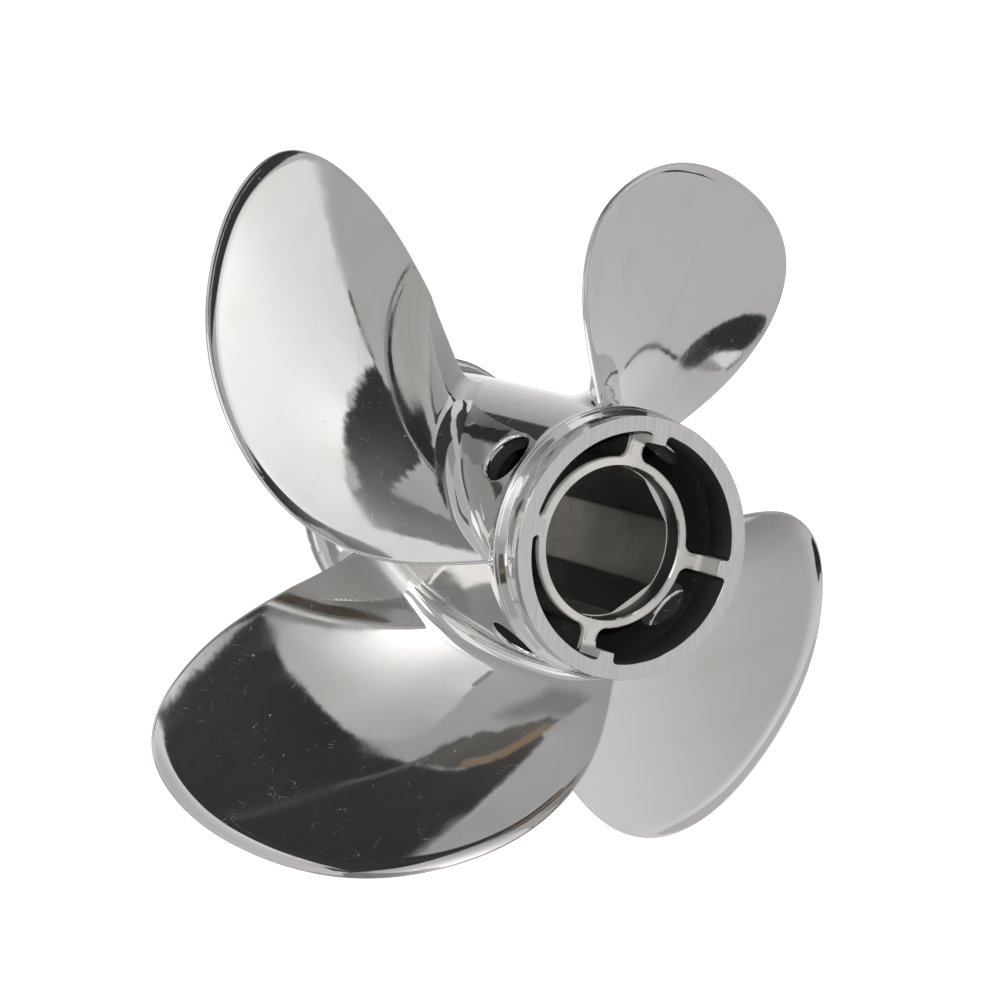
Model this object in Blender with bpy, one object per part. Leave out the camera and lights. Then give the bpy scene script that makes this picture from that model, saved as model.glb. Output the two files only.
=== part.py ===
"""Four-blade outboard boat propeller with a through-hub exhaust, as one casting.

The shaft axis is +Z. The casting stands on the front end of its hub, with the aft face up.
"""
import math

import bmesh
import bpy
import numpy as np
from mathutils import Matrix

MM = 0.001

# Hub barrel, from the flared front end up to the machined aft face
HUB_LENGTH = 180 * MM
BARREL_RADIUS = 56.8 * MM
FRONT_RADIUS = 61.5 * MM
FRONT_LAND = 2 * MM
FLARE_LENGTH = 24 * MM
FRONT_MOUTH_RADIUS = 53 * MM
PASSAGE_RADIUS = 49.3 * MM
AFT_RADIUS = 56 * MM
AFT_BAND_RADIUS = 54.8 * MM
BEAD_HEIGHT = HUB_LENGTH - 15.5 * MM
BEAD_RADIUS = 58.2 * MM
BEAD_HALF_WIDTH = 3.5 * MM
HUB_SIDES = 64
MACHINING_STOCK = 1 * MM

# Inner hub with the square drive socket, carried on four webs
INNER_HUB_RADIUS = 36.6 * MM
INNER_HUB_TOP = HUB_LENGTH - 15.6 * MM
INNER_HUB_BOTTOM = 12 * MM
BORE_RADIUS = 32.6 * MM
SOCKET_TOP = HUB_LENGTH - 25 * MM
SOCKET_FLAT = 30.2 * MM
SOCKET_CORNER_RADIUS = 32.2 * MM
SOCKET_BOTTOM = 32 * MM
SHAFT_HOLE_RADIUS = 24 * MM
WEB_THICKNESS = 7 * MM
WEB_SETBACK = 6 * MM
WALL_BITE = 2.5 * MM
COUNTERBORE_RADIUS = 44.6 * MM

# Vent holes through the barrel, one beside each blade
VENT_RADIUS = 11.4 * MM
VENT_LIP = 1.6 * MM
VENT_REACH = 17 * MM
VENT_CLEARANCE = 20 * MM
VENT_HEIGHT = HUB_LENGTH - 34 * MM
VENT_ANGLE = -4.5
VENT_SIDES = 28

# Blade outline: radius in mm and degrees from each blade's reference line, trailing edge positive
BLADES = 4
FIRST_BLADE_ANGLE = 248.4
TRAILING_EDGE = [(57, 40.6), (79, 40.3), (100, 38.4), (128, 31.7), (153.5, 20.3), (172, 9)]
TIP_EDGE = [(186.5, -5), (191.1, -13.5), (186.7, -21.9)]
LEADING_EDGE = [
    (176, -26.1), (160, -29.5), (137, -32.9), (115, -35.2), (95, -37.1), (75, -39.4), (57, -44),
]

# Blade surface
TIP_RADIUS = 191 * MM
PITCH_AT_TIP = 379.4 * MM
PITCH_GAIN_AT_ROOT = 34.7 * MM
PITCH_POWER = 1.6
ROOT_HEIGHT = 107.3 * MM
FORWARD_RAKE = 0.259
RAKE_BOW = 2.1 * MM
CAMBER_ANGLE = 40
TRAILING_CAMBER = 6.3 * MM
LEADING_CAMBER = 2.6 * MM
EDGE_THICKNESS = 1.8 * MM
EDGE_ROUND = 0.4 * MM
NOSE_THICKNESS = 3 * MM
NOSE_ROUND = 2 * MM
NOSE_SPAN = 0.33
ROOT_THICKNESS = 12 * MM
TIP_THICKNESS = 3.5 * MM
CUP_HEIGHT = 2 * MM
CUP_WIDTH = 7 * MM
BEVEL_WIDTH = 19 * MM
BEVEL_TOP = 99 * MM
BEVEL_DROP = 2.5 * MM

# Root fillets, from the trailing edge over the pressure side and back over the suction side
ROOT_FILLETS = [3 * MM, 8 * MM, 10 * MM, 7 * MM, 7 * MM, 9 * MM, 10 * MM, 6 * MM]
ROOT_DEPTH = 3 * MM
FILLET_ROWS = 5
CHORD_CELLS = 15
SPAN_CELLS = 13
EDGE_CELLS = 4

STEEL = {"color": (0.62, 0.61, 0.59, 1), "metallic": 1.0, "roughness": 0.12}


def clear_scene():
    for obj in list(bpy.data.objects):
        bpy.data.objects.remove(obj)


def steel_material():
    material = bpy.data.materials.new("polished_stainless_steel")
    material.use_nodes = True
    shader = material.node_tree.nodes["Principled BSDF"]
    shader.inputs["Base Color"].default_value = STEEL["color"]
    shader.inputs["Metallic"].default_value = STEEL["metallic"]
    shader.inputs["Roughness"].default_value = STEEL["roughness"]
    return material


def mesh_object(name, verts, faces):
    mesh = bpy.data.meshes.new(name)
    mesh.from_pydata(verts, [], faces)
    mesh.update()
    obj = bpy.data.objects.new(name, mesh)
    bpy.context.scene.collection.objects.link(obj)
    return obj


def face_outward(obj):
    bm = bmesh.new()
    bm.from_mesh(obj.data)
    bmesh.ops.recalc_face_normals(bm, faces=bm.faces)
    bm.to_mesh(obj.data)
    bm.free()


def turned_ring(name, profile, sides=HUB_SIDES):
    """Spin a closed profile of (radius, height) points into a ring."""
    verts = []
    for k in range(sides):
        turn = 2 * math.pi * k / sides
        verts += [(r * math.cos(turn), r * math.sin(turn), z) for r, z in profile]
    n = len(profile)
    faces = []
    for k in range(sides):
        here, there = k * n, (k + 1) % sides * n
        faces += [(here + i, there + i, there + (i + 1) % n, here + (i + 1) % n) for i in range(n)]
    ring = mesh_object(name, verts, faces)
    face_outward(ring)
    return ring


def combine(target, tool, operation):
    """Join or cut the target with the tool, and remove the tool."""
    step = target.modifiers.new(operation.lower(), "BOOLEAN")
    step.operation = operation
    step.object = tool
    step.solver = "EXACT"
    result = target.evaluated_get(bpy.context.evaluated_depsgraph_get())
    mesh = bpy.data.meshes.new_from_object(result)
    target.modifiers.clear()
    target.data = mesh
    bpy.data.objects.remove(tool)


def smooth_curve(polar, first, last, count):
    """Evenly read a natural cubic spline between two of its points.

    The points are (radius in mm, degrees), and the curve comes back as plane points in metres.
    """
    radius, turn = np.array(polar, float).T
    points = np.c_[np.cos(np.radians(turn)), np.sin(np.radians(turn))] * radius[:, None] * MM
    knots = np.r_[0, np.cumsum(np.linalg.norm(np.diff(points, axis=0), axis=1))]
    step = np.diff(knots)
    slope = np.diff(points, axis=0) / step[:, None]
    system = np.eye(len(points))
    right = np.zeros_like(points)
    for i in range(1, len(points) - 1):
        system[i, i - 1:i + 2] = step[i - 1], 2 * (step[i - 1] + step[i]), step[i]
        right[i] = 6 * (slope[i] - slope[i - 1])
    bend = np.linalg.solve(system, right)
    at = np.linspace(knots[first], knots[last], count)
    k = np.clip(np.searchsorted(knots, at, side="right") - 1, 0, len(step) - 1)
    h = step[k][:, None]
    past, left = (at - knots[k])[:, None], (knots[k + 1] - at)[:, None]
    curved = (bend[k] * left ** 3 + bend[k + 1] * past ** 3) / (6 * h)
    straight = (points[k] * left + points[k + 1] * past) / h
    return curved + straight - (bend[k] * left + bend[k + 1] * past) * h / 6


def edge_curves():
    """Trailing edge, tip and leading edge as dense curves, both edges running outward."""
    outline = TRAILING_EDGE + TIP_EDGE + LEADING_EDGE
    first, last = len(TRAILING_EDGE) - 1, len(TRAILING_EDGE + TIP_EDGE)
    trailing = smooth_curve(outline, 0, first, 400)
    tip = smooth_curve(outline, first, last, 400)
    leading = smooth_curve(outline, last, len(outline) - 1, 400)[::-1]
    return trailing, tip, leading


def row_heights():
    """Heights of the rows over the barrel, as shares of the way to the tip."""
    full = TRAILING_EDGE[-1][0] * MM - BARREL_RADIUS
    top = max(ROOT_FILLETS)
    low = top * (1 - np.cos(np.linspace(0.2, math.pi / 2, FILLET_ROWS)))
    return np.r_[-ROOT_DEPTH, low, np.linspace(top, full, SPAN_CELLS + 1)[1:]] / full


def chord_shares():
    """Places of the columns from the trailing edge to the leading edge, closer at both edges."""
    even = np.linspace(0, 1, CHORD_CELLS + 1)
    return (even + (1 - np.cos(math.pi * even)) / 2) / 2


def polar_of(curve):
    return np.hypot(curve[:, 0], curve[:, 1]), np.arctan2(curve[:, 1], curve[:, 0])


def blade_plan():
    """Radius and angle of the grid points, rows from root to tip, trailing to leading edge."""
    trailing, tip, leading = (polar_of(curve) for curve in edge_curves())
    along = row_heights()[:, None]
    across = chord_shares()[None, :]
    places = np.linspace(0, 1, len(tip[0]))
    sides = []
    for edge in (trailing, leading):
        radius = BARREL_RADIUS + (edge[0][-1] - BARREL_RADIUS) * along
        sides.append((radius, np.interp(radius, edge[0], edge[1])))
    grids = []
    for k in (0, 1):
        first, last = sides[0][k], sides[1][k]
        top = np.interp(across, places, tip[k])
        root = first[0] + (last[0] - first[0]) * across
        corners = (1 - along) * root + along * (top[:, :1] + (top[:, -1:] - top[:, :1]) * across)
        grids.append(first + (last - first) * across + (1 - along) * root + along * top - corners)
    return grids


def face_points(radius, angle, lift):
    """Points of the helical pressure face, lifted square to its section."""
    span = TIP_RADIUS - BARREL_RADIUS
    over = (radius - BARREL_RADIUS) / span
    pitch = PITCH_AT_TIP + PITCH_GAIN_AT_ROOT * np.clip(1 - over, 0, None) ** PITCH_POWER
    rise = pitch / (2 * math.pi * radius)
    slant = np.hypot(1, rise)
    base = ROOT_HEIGHT - FORWARD_RAKE * span * over - RAKE_BOW * 4 * over * (1 - over)
    turned = np.degrees(angle) / CAMBER_ANGLE
    base = base + np.where(turned > 0, TRAILING_CAMBER, LEADING_CAMBER) * turned ** 2
    turn = angle - lift * rise / slant / radius
    height = base + pitch * angle / (2 * math.pi) + lift / slant
    return np.stack([radius * np.cos(turn), radius * np.sin(turn), height], -1)


def ramp(x):
    x = np.clip(x, 0, 1)
    return x * x * (3 - 2 * x)


def cup_lift(radius, angle):
    """Lift of the rim towards the aft end, along the trailing edge and the first part of the tip."""
    trailing, tip, _ = edge_curves()
    rim = np.concatenate([trailing, tip])
    place = np.linspace(0, 1, len(rim))
    size = ramp(place / 0.35) * (1 - ramp((place - 0.82) / 0.18))
    flat = np.stack([radius * np.cos(angle), radius * np.sin(angle)], -1)
    gap = np.linalg.norm(flat[..., None, :] - rim, axis=-1)
    share = np.clip(1 - gap.min(axis=-1) / CUP_WIDTH, 0, None)
    return CUP_HEIGHT * size[gap.argmin(axis=-1)] * share ** 2


def bevel_drop(radius, angle):
    """Fall of the pressure face past a crease near the leading edge, close to the hub."""
    _, _, leading = edge_curves()
    edge_radius, edge_angle = polar_of(leading)
    inward = (angle - np.interp(radius, edge_radius, edge_angle)) * radius
    share = np.clip((radius - BARREL_RADIUS) / (BEVEL_TOP - BARREL_RADIUS), 0, 1)
    width = BEVEL_WIDTH * (1 - share ** 2.2) + 0.1 * MM
    drop = BEVEL_DROP * np.clip(1.6 * (1 - share), 0, 1)
    return drop * np.clip(1 - inward / width, 0, 1)


def nose_share(across, along):
    """How much of the thick nose a point has: whole at the leading edge near the hub."""
    return ramp(1 - along / NOSE_SPAN) * ramp((across - 0.75) / 0.25)


def thickness(across, along):
    edge = EDGE_THICKNESS + NOSE_THICKNESS * nose_share(across, along)
    full = ROOT_THICKNESS + (TIP_THICKNESS - ROOT_THICKNESS) * along ** 0.7
    skew = across ** (1 - 0.12 * (1 - along))
    crown = (4 * skew * (1 - skew)) ** (0.72 + 0.5 * (1 - across) ** 2) * (1 - along ** 5)
    return edge + (full - edge) * crown


def spread_root(loop, place):
    """Move a section loop outward along the barrel by the root fillet.

    The place of a point runs from 0 at the trailing edge over the pressure side to 0.5 at the leading
    edge, and back over the suction side.
    """
    sizes = np.array(ROOT_FILLETS + ROOT_FILLETS[:1])
    at = place * len(ROOT_FILLETS)
    k = np.clip(at.astype(int), 0, len(ROOT_FILLETS) - 1)
    size = sizes[k] + (sizes[k + 1] - sizes[k]) * ramp(at - k)
    radius = np.hypot(loop[:, 0], loop[:, 1])
    angle = np.unwrap(np.arctan2(loop[:, 1], loop[:, 0]))
    flat = np.c_[radius * angle, loop[:, 2]]
    along = np.roll(flat, -1, axis=0) - np.roll(flat, 1, axis=0)
    normal = np.c_[along[:, 1], -along[:, 0]] / np.linalg.norm(along, axis=1, keepdims=True)
    area = (flat[:, 0] * np.roll(flat[:, 1], -1) - flat[:, 1] * np.roll(flat[:, 0], -1)).sum()
    over = np.clip((radius - BARREL_RADIUS) / size, 0.02, 1)
    spread = size * (1 - np.sqrt(1 - (1 - over) ** 2)) * np.sign(area)
    flat = flat + normal * spread[:, None]
    return np.c_[radius * np.cos(flat[:, 0] / radius), radius * np.sin(flat[:, 0] / radius), flat[:, 1]]


def edge_arcs(first, last, inside, nose):
    """Points that round an edge from one side of the blade to the other, a row of them for each section."""
    outward = first - inside
    outward *= (EDGE_ROUND + NOSE_ROUND * nose) / np.linalg.norm(outward, axis=1, keepdims=True)
    turn = np.linspace(0, math.pi, EDGE_CELLS + 1)[None, 1:-1, None]
    middle, half = (first + last) / 2, (first - last) / 2
    return middle[:, None] + half[:, None] * np.cos(turn) + outward[:, None] * np.sin(turn)


def blade_loops():
    """Closed loops round the blade's sections, from inside the barrel wall to the tip row."""
    radius, angle = blade_plan()
    across = chord_shares()
    along = row_heights().clip(0)[:, None]
    lift = cup_lift(radius, angle) - bevel_drop(radius, angle)
    pressure = face_points(radius, angle, lift)
    suction = face_points(radius, angle, lift - thickness(across[None, :], along))
    leading = edge_arcs(pressure[:, -1], suction[:, -1], pressure[:, -2], nose_share(1, along))
    trailing = edge_arcs(suction[:, 0], pressure[:, 0], suction[:, 1], 0 * along)
    half = np.linspace(0, 0.5, len(across))
    rounded = np.ones(EDGE_CELLS - 1)
    place = np.concatenate([half, 0.5 * rounded, 1 - half[::-1], 0 * rounded])
    loops = []
    for j in range(len(along)):
        loop = np.concatenate([pressure[j], leading[j], suction[j, ::-1], trailing[j]])
        if along[j, 0] * (TRAILING_EDGE[-1][0] * MM - BARREL_RADIUS) <= max(ROOT_FILLETS):
            loop = spread_root(loop, place)
        loops.append(loop)
    return loops


def blade(turn):
    loops = blade_loops()
    n = len(loops[0])
    cols = CHORD_CELLS + 1
    spin = np.array(Matrix.Rotation(turn, 3, "Z"))
    verts = [tuple(p) for p in np.concatenate(loops) @ spin.T]
    faces = []
    for j in range(len(loops) - 1):
        low, high = j * n, (j + 1) * n
        faces += [(low + i, low + (i + 1) % n, high + (i + 1) % n, high + i) for i in range(n)]
    for base in (0, (len(loops) - 1) * n):
        last = base + n - EDGE_CELLS
        faces += [(base + i, base + i + 1, last - i - 1, last - i) for i in range(cols - 1)]
        faces.append(tuple(range(base + cols - 1, base + cols + EDGE_CELLS)))
        faces.append((*range(last, base + n), base))
    obj = mesh_object("blade", verts, faces)
    face_outward(obj)
    return obj


def arc_share(k, count):
    """Height and reach of a quarter round, both from 0 to 1."""
    turn = math.pi / 2 * k / count
    return math.sin(turn), 1 - math.cos(turn)


def barrel_profile():
    """Closed profile of the outer wall: up the outside, then down the exhaust passage."""
    outside = [(FRONT_RADIUS, 0), (FRONT_RADIUS, FRONT_LAND)]
    for k in range(1, 6):
        rise, reach = arc_share(k, 5)
        outside.append((
            BARREL_RADIUS + (FRONT_RADIUS - BARREL_RADIUS) * (1 - rise),
            FRONT_LAND + (FLARE_LENGTH - FRONT_LAND) * reach,
        ))
    step = (BEAD_HEIGHT - BEAD_HALF_WIDTH - FLARE_LENGTH) / 4
    outside += [(BARREL_RADIUS, FLARE_LENGTH + step * k) for k in range(1, 5)]
    outside += [
        (BEAD_RADIUS, BEAD_HEIGHT - BEAD_HALF_WIDTH * 0.4),
        (BEAD_RADIUS, BEAD_HEIGHT + BEAD_HALF_WIDTH * 0.4),
        (AFT_BAND_RADIUS, BEAD_HEIGHT + BEAD_HALF_WIDTH),
        (AFT_RADIUS, HUB_LENGTH),
        (AFT_RADIUS, HUB_LENGTH + MACHINING_STOCK),
    ]
    inside = [
        (PASSAGE_RADIUS, HUB_LENGTH + MACHINING_STOCK),
        (PASSAGE_RADIUS, FLARE_LENGTH),
        (FRONT_MOUTH_RADIUS, 0),
    ]
    return outside + inside


def round_bar(name, radius, bottom, top, sides=HUB_SIDES):
    bar = bmesh.new()
    bmesh.ops.create_cone(
        bar, cap_ends=True, segments=sides, radius1=radius, radius2=radius, depth=top - bottom,
        matrix=Matrix.Translation((0, 0, (top + bottom) / 2)),
    )
    mesh = bpy.data.meshes.new(name)
    bar.to_mesh(mesh)
    bar.free()
    obj = bpy.data.objects.new(name, mesh)
    bpy.context.scene.collection.objects.link(obj)
    return obj


def socket_cutter():
    """Square bar with its corners turned down to just inside the bore."""
    corner = math.acos(SOCKET_FLAT / SOCKET_CORNER_RADIUS)
    outline = []
    for side in range(4):
        centre = math.pi / 4 + side * math.pi / 2
        start, stop = centre + corner, centre + math.pi / 2 - corner
        outline += [start + (stop - start) * k / 8 for k in range(9)]
    reach = SOCKET_CORNER_RADIUS
    verts = []
    for z in (SOCKET_BOTTOM, SOCKET_TOP + 1 * MM):
        verts += [(reach * math.cos(t), reach * math.sin(t), z) for t in outline]
    n = len(outline)
    faces = [tuple(range(n)), tuple(range(n, 2 * n))]
    faces += [(i, (i + 1) % n, n + (i + 1) % n, n + i) for i in range(n)]
    cutter = mesh_object("socket_cutter", verts, faces)
    face_outward(cutter)
    return cutter


def machine_hub(casting):
    """Face the aft end, and cut the counterbore, the round bore, the square socket and the shaft hole."""
    over = 5 * MM
    cuts = [
        round_bar("facing", 70 * MM, HUB_LENGTH, HUB_LENGTH + over),
        round_bar("counterbore", COUNTERBORE_RADIUS, INNER_HUB_TOP, HUB_LENGTH + over),
        round_bar("bore", BORE_RADIUS, SOCKET_TOP, HUB_LENGTH + over),
        socket_cutter(),
        round_bar("shaft_hole", SHAFT_HOLE_RADIUS, -over, SOCKET_BOTTOM + over, 40),
    ]
    for cutter in cuts:
        combine(casting, cutter, "DIFFERENCE")


def web_block(turn):
    """Web that carries the inner hub, and that runs up to the aft face before machining."""
    near, far = INNER_HUB_RADIUS - WALL_BITE, PASSAGE_RADIUS + WALL_BITE
    bottom, top = INNER_HUB_BOTTOM + WEB_SETBACK, HUB_LENGTH + 2 * MACHINING_STOCK
    verts = []
    for y in (-WEB_THICKNESS / 2, WEB_THICKNESS / 2):
        verts += [(near, y, bottom), (far, y, bottom), (far, y, top), (near, y, top)]
    faces = [(0, 1, 2, 3), (4, 5, 6, 7), (0, 1, 5, 4), (1, 2, 6, 5), (2, 3, 7, 6), (3, 0, 4, 7)]
    block = mesh_object("web", verts, faces)
    block.data.transform(Matrix.Rotation(turn, 4, "Z"))
    face_outward(block)
    return block


def vent_cutter(angle, height):
    """Round cutter whose lip follows the barrel's surface all round the hole."""
    sections = [
        (VENT_RADIUS, VENT_REACH),
        (VENT_RADIUS, VENT_LIP),
        (VENT_RADIUS + VENT_LIP * 0.3, VENT_LIP * 0.3),
        (VENT_RADIUS + VENT_LIP, 0),
        (VENT_RADIUS + VENT_LIP, -VENT_CLEARANCE),
    ]
    verts = []
    for radius, depth in sections:
        for k in range(VENT_SIDES):
            turn = 2 * math.pi * k / VENT_SIDES
            y = radius * math.cos(turn)
            x = math.sqrt(BARREL_RADIUS ** 2 - y ** 2) - depth
            verts.append((x, y, radius * math.sin(turn) + height))
    n, count = VENT_SIDES, len(sections)
    faces = [tuple(range(n)), tuple(range((count - 1) * n, count * n))]
    for s in range(count - 1):
        low, high = s * n, (s + 1) * n
        faces += [(low + i, low + (i + 1) % n, high + (i + 1) % n, high + i) for i in range(n)]
    cutter = mesh_object("vent_cutter", verts, faces)
    bm = bmesh.new()
    bm.from_mesh(cutter.data)
    bmesh.ops.triangulate(bm, faces=[face for face in bm.faces if len(face.verts) > 4])
    bm.to_mesh(cutter.data)
    bm.free()
    cutter.data.transform(Matrix.Rotation(angle, 4, "Z"))
    face_outward(cutter)
    return cutter


def main():
    clear_scene()
    casting = turned_ring("propeller_casting", barrel_profile())
    inner_top = INNER_HUB_TOP + MACHINING_STOCK
    combine(casting, round_bar("inner_hub", INNER_HUB_RADIUS, INNER_HUB_BOTTOM, inner_top), "UNION")
    for quarter in range(4):
        combine(casting, web_block(quarter * math.pi / 2), "UNION")
    references = [math.radians(FIRST_BLADE_ANGLE + number * 360 / BLADES) for number in range(BLADES)]
    for reference in references:
        combine(casting, blade(reference), "UNION")
    machine_hub(casting)
    for reference in references:
        combine(casting, vent_cutter(reference + math.radians(VENT_ANGLE), VENT_HEIGHT), "DIFFERENCE")
    casting.data.materials.clear()
    casting.data.materials.append(steel_material())
    casting.data.shade_smooth()
    casting.data.set_sharp_from_angle(angle=math.radians(30))


main()
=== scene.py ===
"""Looks of a four-blade outboard boat propeller, cast in one piece of stainless steel.

The shaft axis is +Z and the propeller stands on the front end of its hub, with the aft face up.
Lengths in the size classes are metres and angles are degrees unless a docstring says otherwise.
"""

import logging
import math
from dataclasses import dataclass, field
from enum import Enum
from functools import reduce

import bmesh
import bpy
import numpy as np
from mathutils import Matrix, Vector
from mathutils.geometry import delaunay_2d_cdt

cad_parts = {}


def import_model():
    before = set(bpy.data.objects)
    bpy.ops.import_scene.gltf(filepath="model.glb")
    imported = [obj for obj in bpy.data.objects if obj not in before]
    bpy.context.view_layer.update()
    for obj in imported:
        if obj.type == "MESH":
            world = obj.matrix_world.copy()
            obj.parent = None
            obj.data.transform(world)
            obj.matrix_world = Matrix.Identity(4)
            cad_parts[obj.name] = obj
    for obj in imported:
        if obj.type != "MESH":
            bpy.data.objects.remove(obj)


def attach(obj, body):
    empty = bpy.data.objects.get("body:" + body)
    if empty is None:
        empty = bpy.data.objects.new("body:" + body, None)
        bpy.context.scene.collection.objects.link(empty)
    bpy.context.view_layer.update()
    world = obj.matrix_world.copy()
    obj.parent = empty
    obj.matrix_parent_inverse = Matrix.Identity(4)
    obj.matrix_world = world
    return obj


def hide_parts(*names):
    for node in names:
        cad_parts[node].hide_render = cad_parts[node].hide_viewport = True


LOG = logging.getLogger("propeller")
MM = 0.001
CAD_NODE = "propeller_casting"
BODY = "root"
Array = np.ndarray


class Slot(Enum):
    """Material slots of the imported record."""

    POLISHED = "polished_steel"
    MACHINED = "machined_steel"
    CAST = "cast_steel"


class Zone(Enum):
    """Finish zones of the casting, which are material indices on every piece."""

    POLISHED = 0
    MACHINED = 1
    CAST = 2
    # Cast skin darkened to a painted shade inside the passages and on the vent walls, where shade falls.
    PAINTED_SHADE_CAST = 3
    LEDGE = 4
    BORED = 5
    BEVEL = 6


# Sizes


@dataclass(frozen=True)
class HubSizes:
    """Outer wall of the hub, from the flared front end to the machined aft face."""

    length: float = 0.180
    barrel_radius: float = 0.0568
    front_radius: float = 0.0615
    front_round: float = 0.0004
    front_land: float = 0.002
    flare_length: float = 0.024
    front_mouth_radius: float = 0.053
    passage_radius: float = 0.0493
    aft_radius: float = 0.056
    aft_land: float = 0.0025
    band_radius: float = 0.0548
    band_sag: float = 0.0005
    bead_height: float = 0.1643
    bead_rise: float = 0.0014
    bead_half_width: float = 0.0028
    bead_gap: float = 0.0006
    bead_power: float = 0.6
    groove_depth: float = 0.00028
    groove_place: float = 0.25
    groove_width: float = 0.13
    band_gap: float = 0.0002
    band_power: float = 1.3
    edge_break: float = 0.00015
    wall_break: float = 1.003
    lug_half_width: float = 0.0034
    lug_base_half_width: float = 0.0038
    lug_reach: float = 0.0446
    lug_depth: float = 0.0156
    lug_fillet: float = 0.002
    lug_round: float = 0.0006
    lug_foot: float = 0.0024
    lug_wall_gap: float = 0.0012
    boss_reach: float = 0.0468
    boss_fillet: float = 0.0026
    boss_gap: float = 0.0015
    boss_bottom: float = 0.020
    mouth_share: float = 0.9
    arc_cells: int = 70
    tiny: float = 0.00002


@dataclass(frozen=True)
class InnerHubSizes:
    """Inner hub tube with its ribs, round bore, square socket and shaft hole."""

    radius: float = 0.0366
    top: float = 0.1644
    bottom: float = 0.012
    bore_radius: float = 0.0326
    bore_chamfer: float = 0.0006
    socket_top: float = 0.155
    socket_bottom: float = 0.032
    socket_flat: float = 0.0302
    socket_corner: float = 0.0322
    shaft_hole_radius: float = 0.024
    shaft_hole_chamfer: float = 0.0005
    rib_half_width: float = 0.0034
    rib_reach: float = 0.051
    rib_rise: float = 0.006
    rib_rise_run: float = 0.010
    root_fillet: float = 0.0045
    edge_radius: float = 0.0009
    tolerance: float = 0.0002


@dataclass(frozen=True)
class VentSizes:
    """Round vent holes through the barrel, with the angle from each blade's reference line."""

    radius: float = 0.0114
    lip: float = 0.0016
    lip_depth: float = 0.00224
    depth: float = 0.011
    overlap: float = 1.002
    low_end: float = -0.0003
    far_end: float = -0.024
    angle: float = -4.5
    height: float = 0.146
    sides: int = 96


@dataclass(frozen=True)
class BladeSizes:
    """One blade: edge and crease points are (radius in mm, degrees from the reference line).

    The outline runs up the trailing edge, round the tip and down the leading edge.
    """

    count: int = 4
    first_angle: float = 248.4
    tip_radius: float = 0.191
    pitch_at_tip: float = 0.3794
    pitch_gain_at_root: float = 0.0347
    pitch_power: float = 1.6
    root_height: float = 0.1073
    forward_rake: float = 0.259
    rake_bow: float = 0.0021
    camber_angle: float = 40
    trailing_camber: float = 0.0063
    leading_camber: float = 0.0026
    trailing_edge: tuple = ((57, 40.6), (79, 40.3), (100, 38.4), (128, 31.7), (153.5, 20.3), (172, 9))
    tip_edge: tuple = ((186.5, -5), (191.1, -13.5), (186.7, -21.9))
    leading_edge: tuple = (
        (176, -26.1), (160, -29.5), (137, -32.9), (115, -35.2), (95, -37.1), (75, -39.4), (57, -44),
    )
    crease: tuple = (
        (52, -26), (58, -23.6), (62, -22.7), (66, -23), (70, -24.2), (74, -25.6), (78, -27.2), (82.7, -28.8),
        (87, -30.1), (90.6, -31.4), (93, -32.8), (97, -34.6), (101, -36.6),
    )
    crease_round: float = 0.0007
    bevel_drop: float = 0.0025
    bevel_width: float = 0.019
    bevel_start: float = 0.0005
    bevel_run: float = 0.004
    ground_past: float = 0.0006
    ground_width: float = 0.003
    edge_thickness: float = 0.0018
    edge_round: float = 0.0004
    nose_thickness: float = 0.003
    nose_round: float = 0.002
    nose_span: float = 0.33
    nose_start: float = 0.75
    root_thickness: float = 0.012
    tip_thickness: float = 0.0035
    taper_power: float = 0.7
    skew: float = 0.12
    fullness: float = 0.72
    fullness_at_trailing: float = 0.5
    tip_power: int = 5
    cup_height: float = 0.002
    cup_width: float = 0.007
    cup_whole: float = 0.35
    cup_end: float = 0.82
    fillets: tuple = (0.003, 0.008, 0.010, 0.007, 0.007, 0.009, 0.010, 0.006)
    fillet_margin: float = 1.02
    skirt: float = 0.0015
    skirt_rows: tuple = (-0.00002, -0.000004)
    edge_cells: int = 800
    chord_cells: int = 96
    span_cells: int = 96
    fillet_rows: int = 22
    arc_cells: int = 14

    def reference(self, number: int) -> float:
        """Direction of the reference line of a blade."""
        return self.first_angle + 360 / self.count * number


# Shape helpers


def smoothstep(x: Array) -> Array:
    """Smooth ramp from 0 to 1, flat at both ends."""
    x = np.clip(x, 0, 1)
    return x * x * (3 - 2 * x)


def lengths(points: Array) -> Array:
    """Length along a row of points up to each of them."""
    return np.r_[0, np.cumsum(np.linalg.norm(np.diff(points, axis=0), axis=1))]


def spline(points: Array, count: int, first: int = 0, last: int = -1) -> Array:
    """Natural cubic spline through points, evenly sampled in chord length.

    Args:
        points: Rows of coordinates.
        count: Number of samples.
        first: Point at which the samples begin.
        last: Point at which they end.

    Returns:
        Rows of coordinates along the curve.
    """
    knots = lengths(points)
    n, step = len(points), np.diff(knots)
    matrix, right = np.eye(n), np.zeros_like(points)
    for i in range(1, n - 1):
        matrix[i, i - 1:i + 2] = step[i - 1], 2 * (step[i - 1] + step[i]), step[i]
        right[i] = 6 * ((points[i + 1] - points[i]) / step[i] - (points[i] - points[i - 1]) / step[i - 1])
    bend = np.linalg.solve(matrix, right)
    at = np.linspace(knots[first], knots[last], count)
    k = np.clip(np.searchsorted(knots, at, side="right") - 1, 0, n - 2)
    h = step[k][:, None]
    left, rest = (at - knots[k])[:, None], (knots[k + 1] - at)[:, None]
    return (
        bend[k] * rest ** 3 / (6 * h) + bend[k + 1] * left ** 3 / (6 * h)
        + (points[k] / h - bend[k] * h / 6) * rest + (points[k + 1] / h - bend[k + 1] * h / 6) * left
    )


def polar_point(radius: Array, degrees: Array) -> Array:
    """Plane points at radii and angles."""
    turn = np.radians(degrees)
    return np.stack([radius * np.cos(turn), radius * np.sin(turn)], axis=-1)


def plane_points(rows: tuple) -> Array:
    """Turn (radius in mm, degrees) rows into plane points in metres."""
    radius, degrees = np.array(rows, float).T
    return polar_point(radius, degrees) * MM


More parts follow.
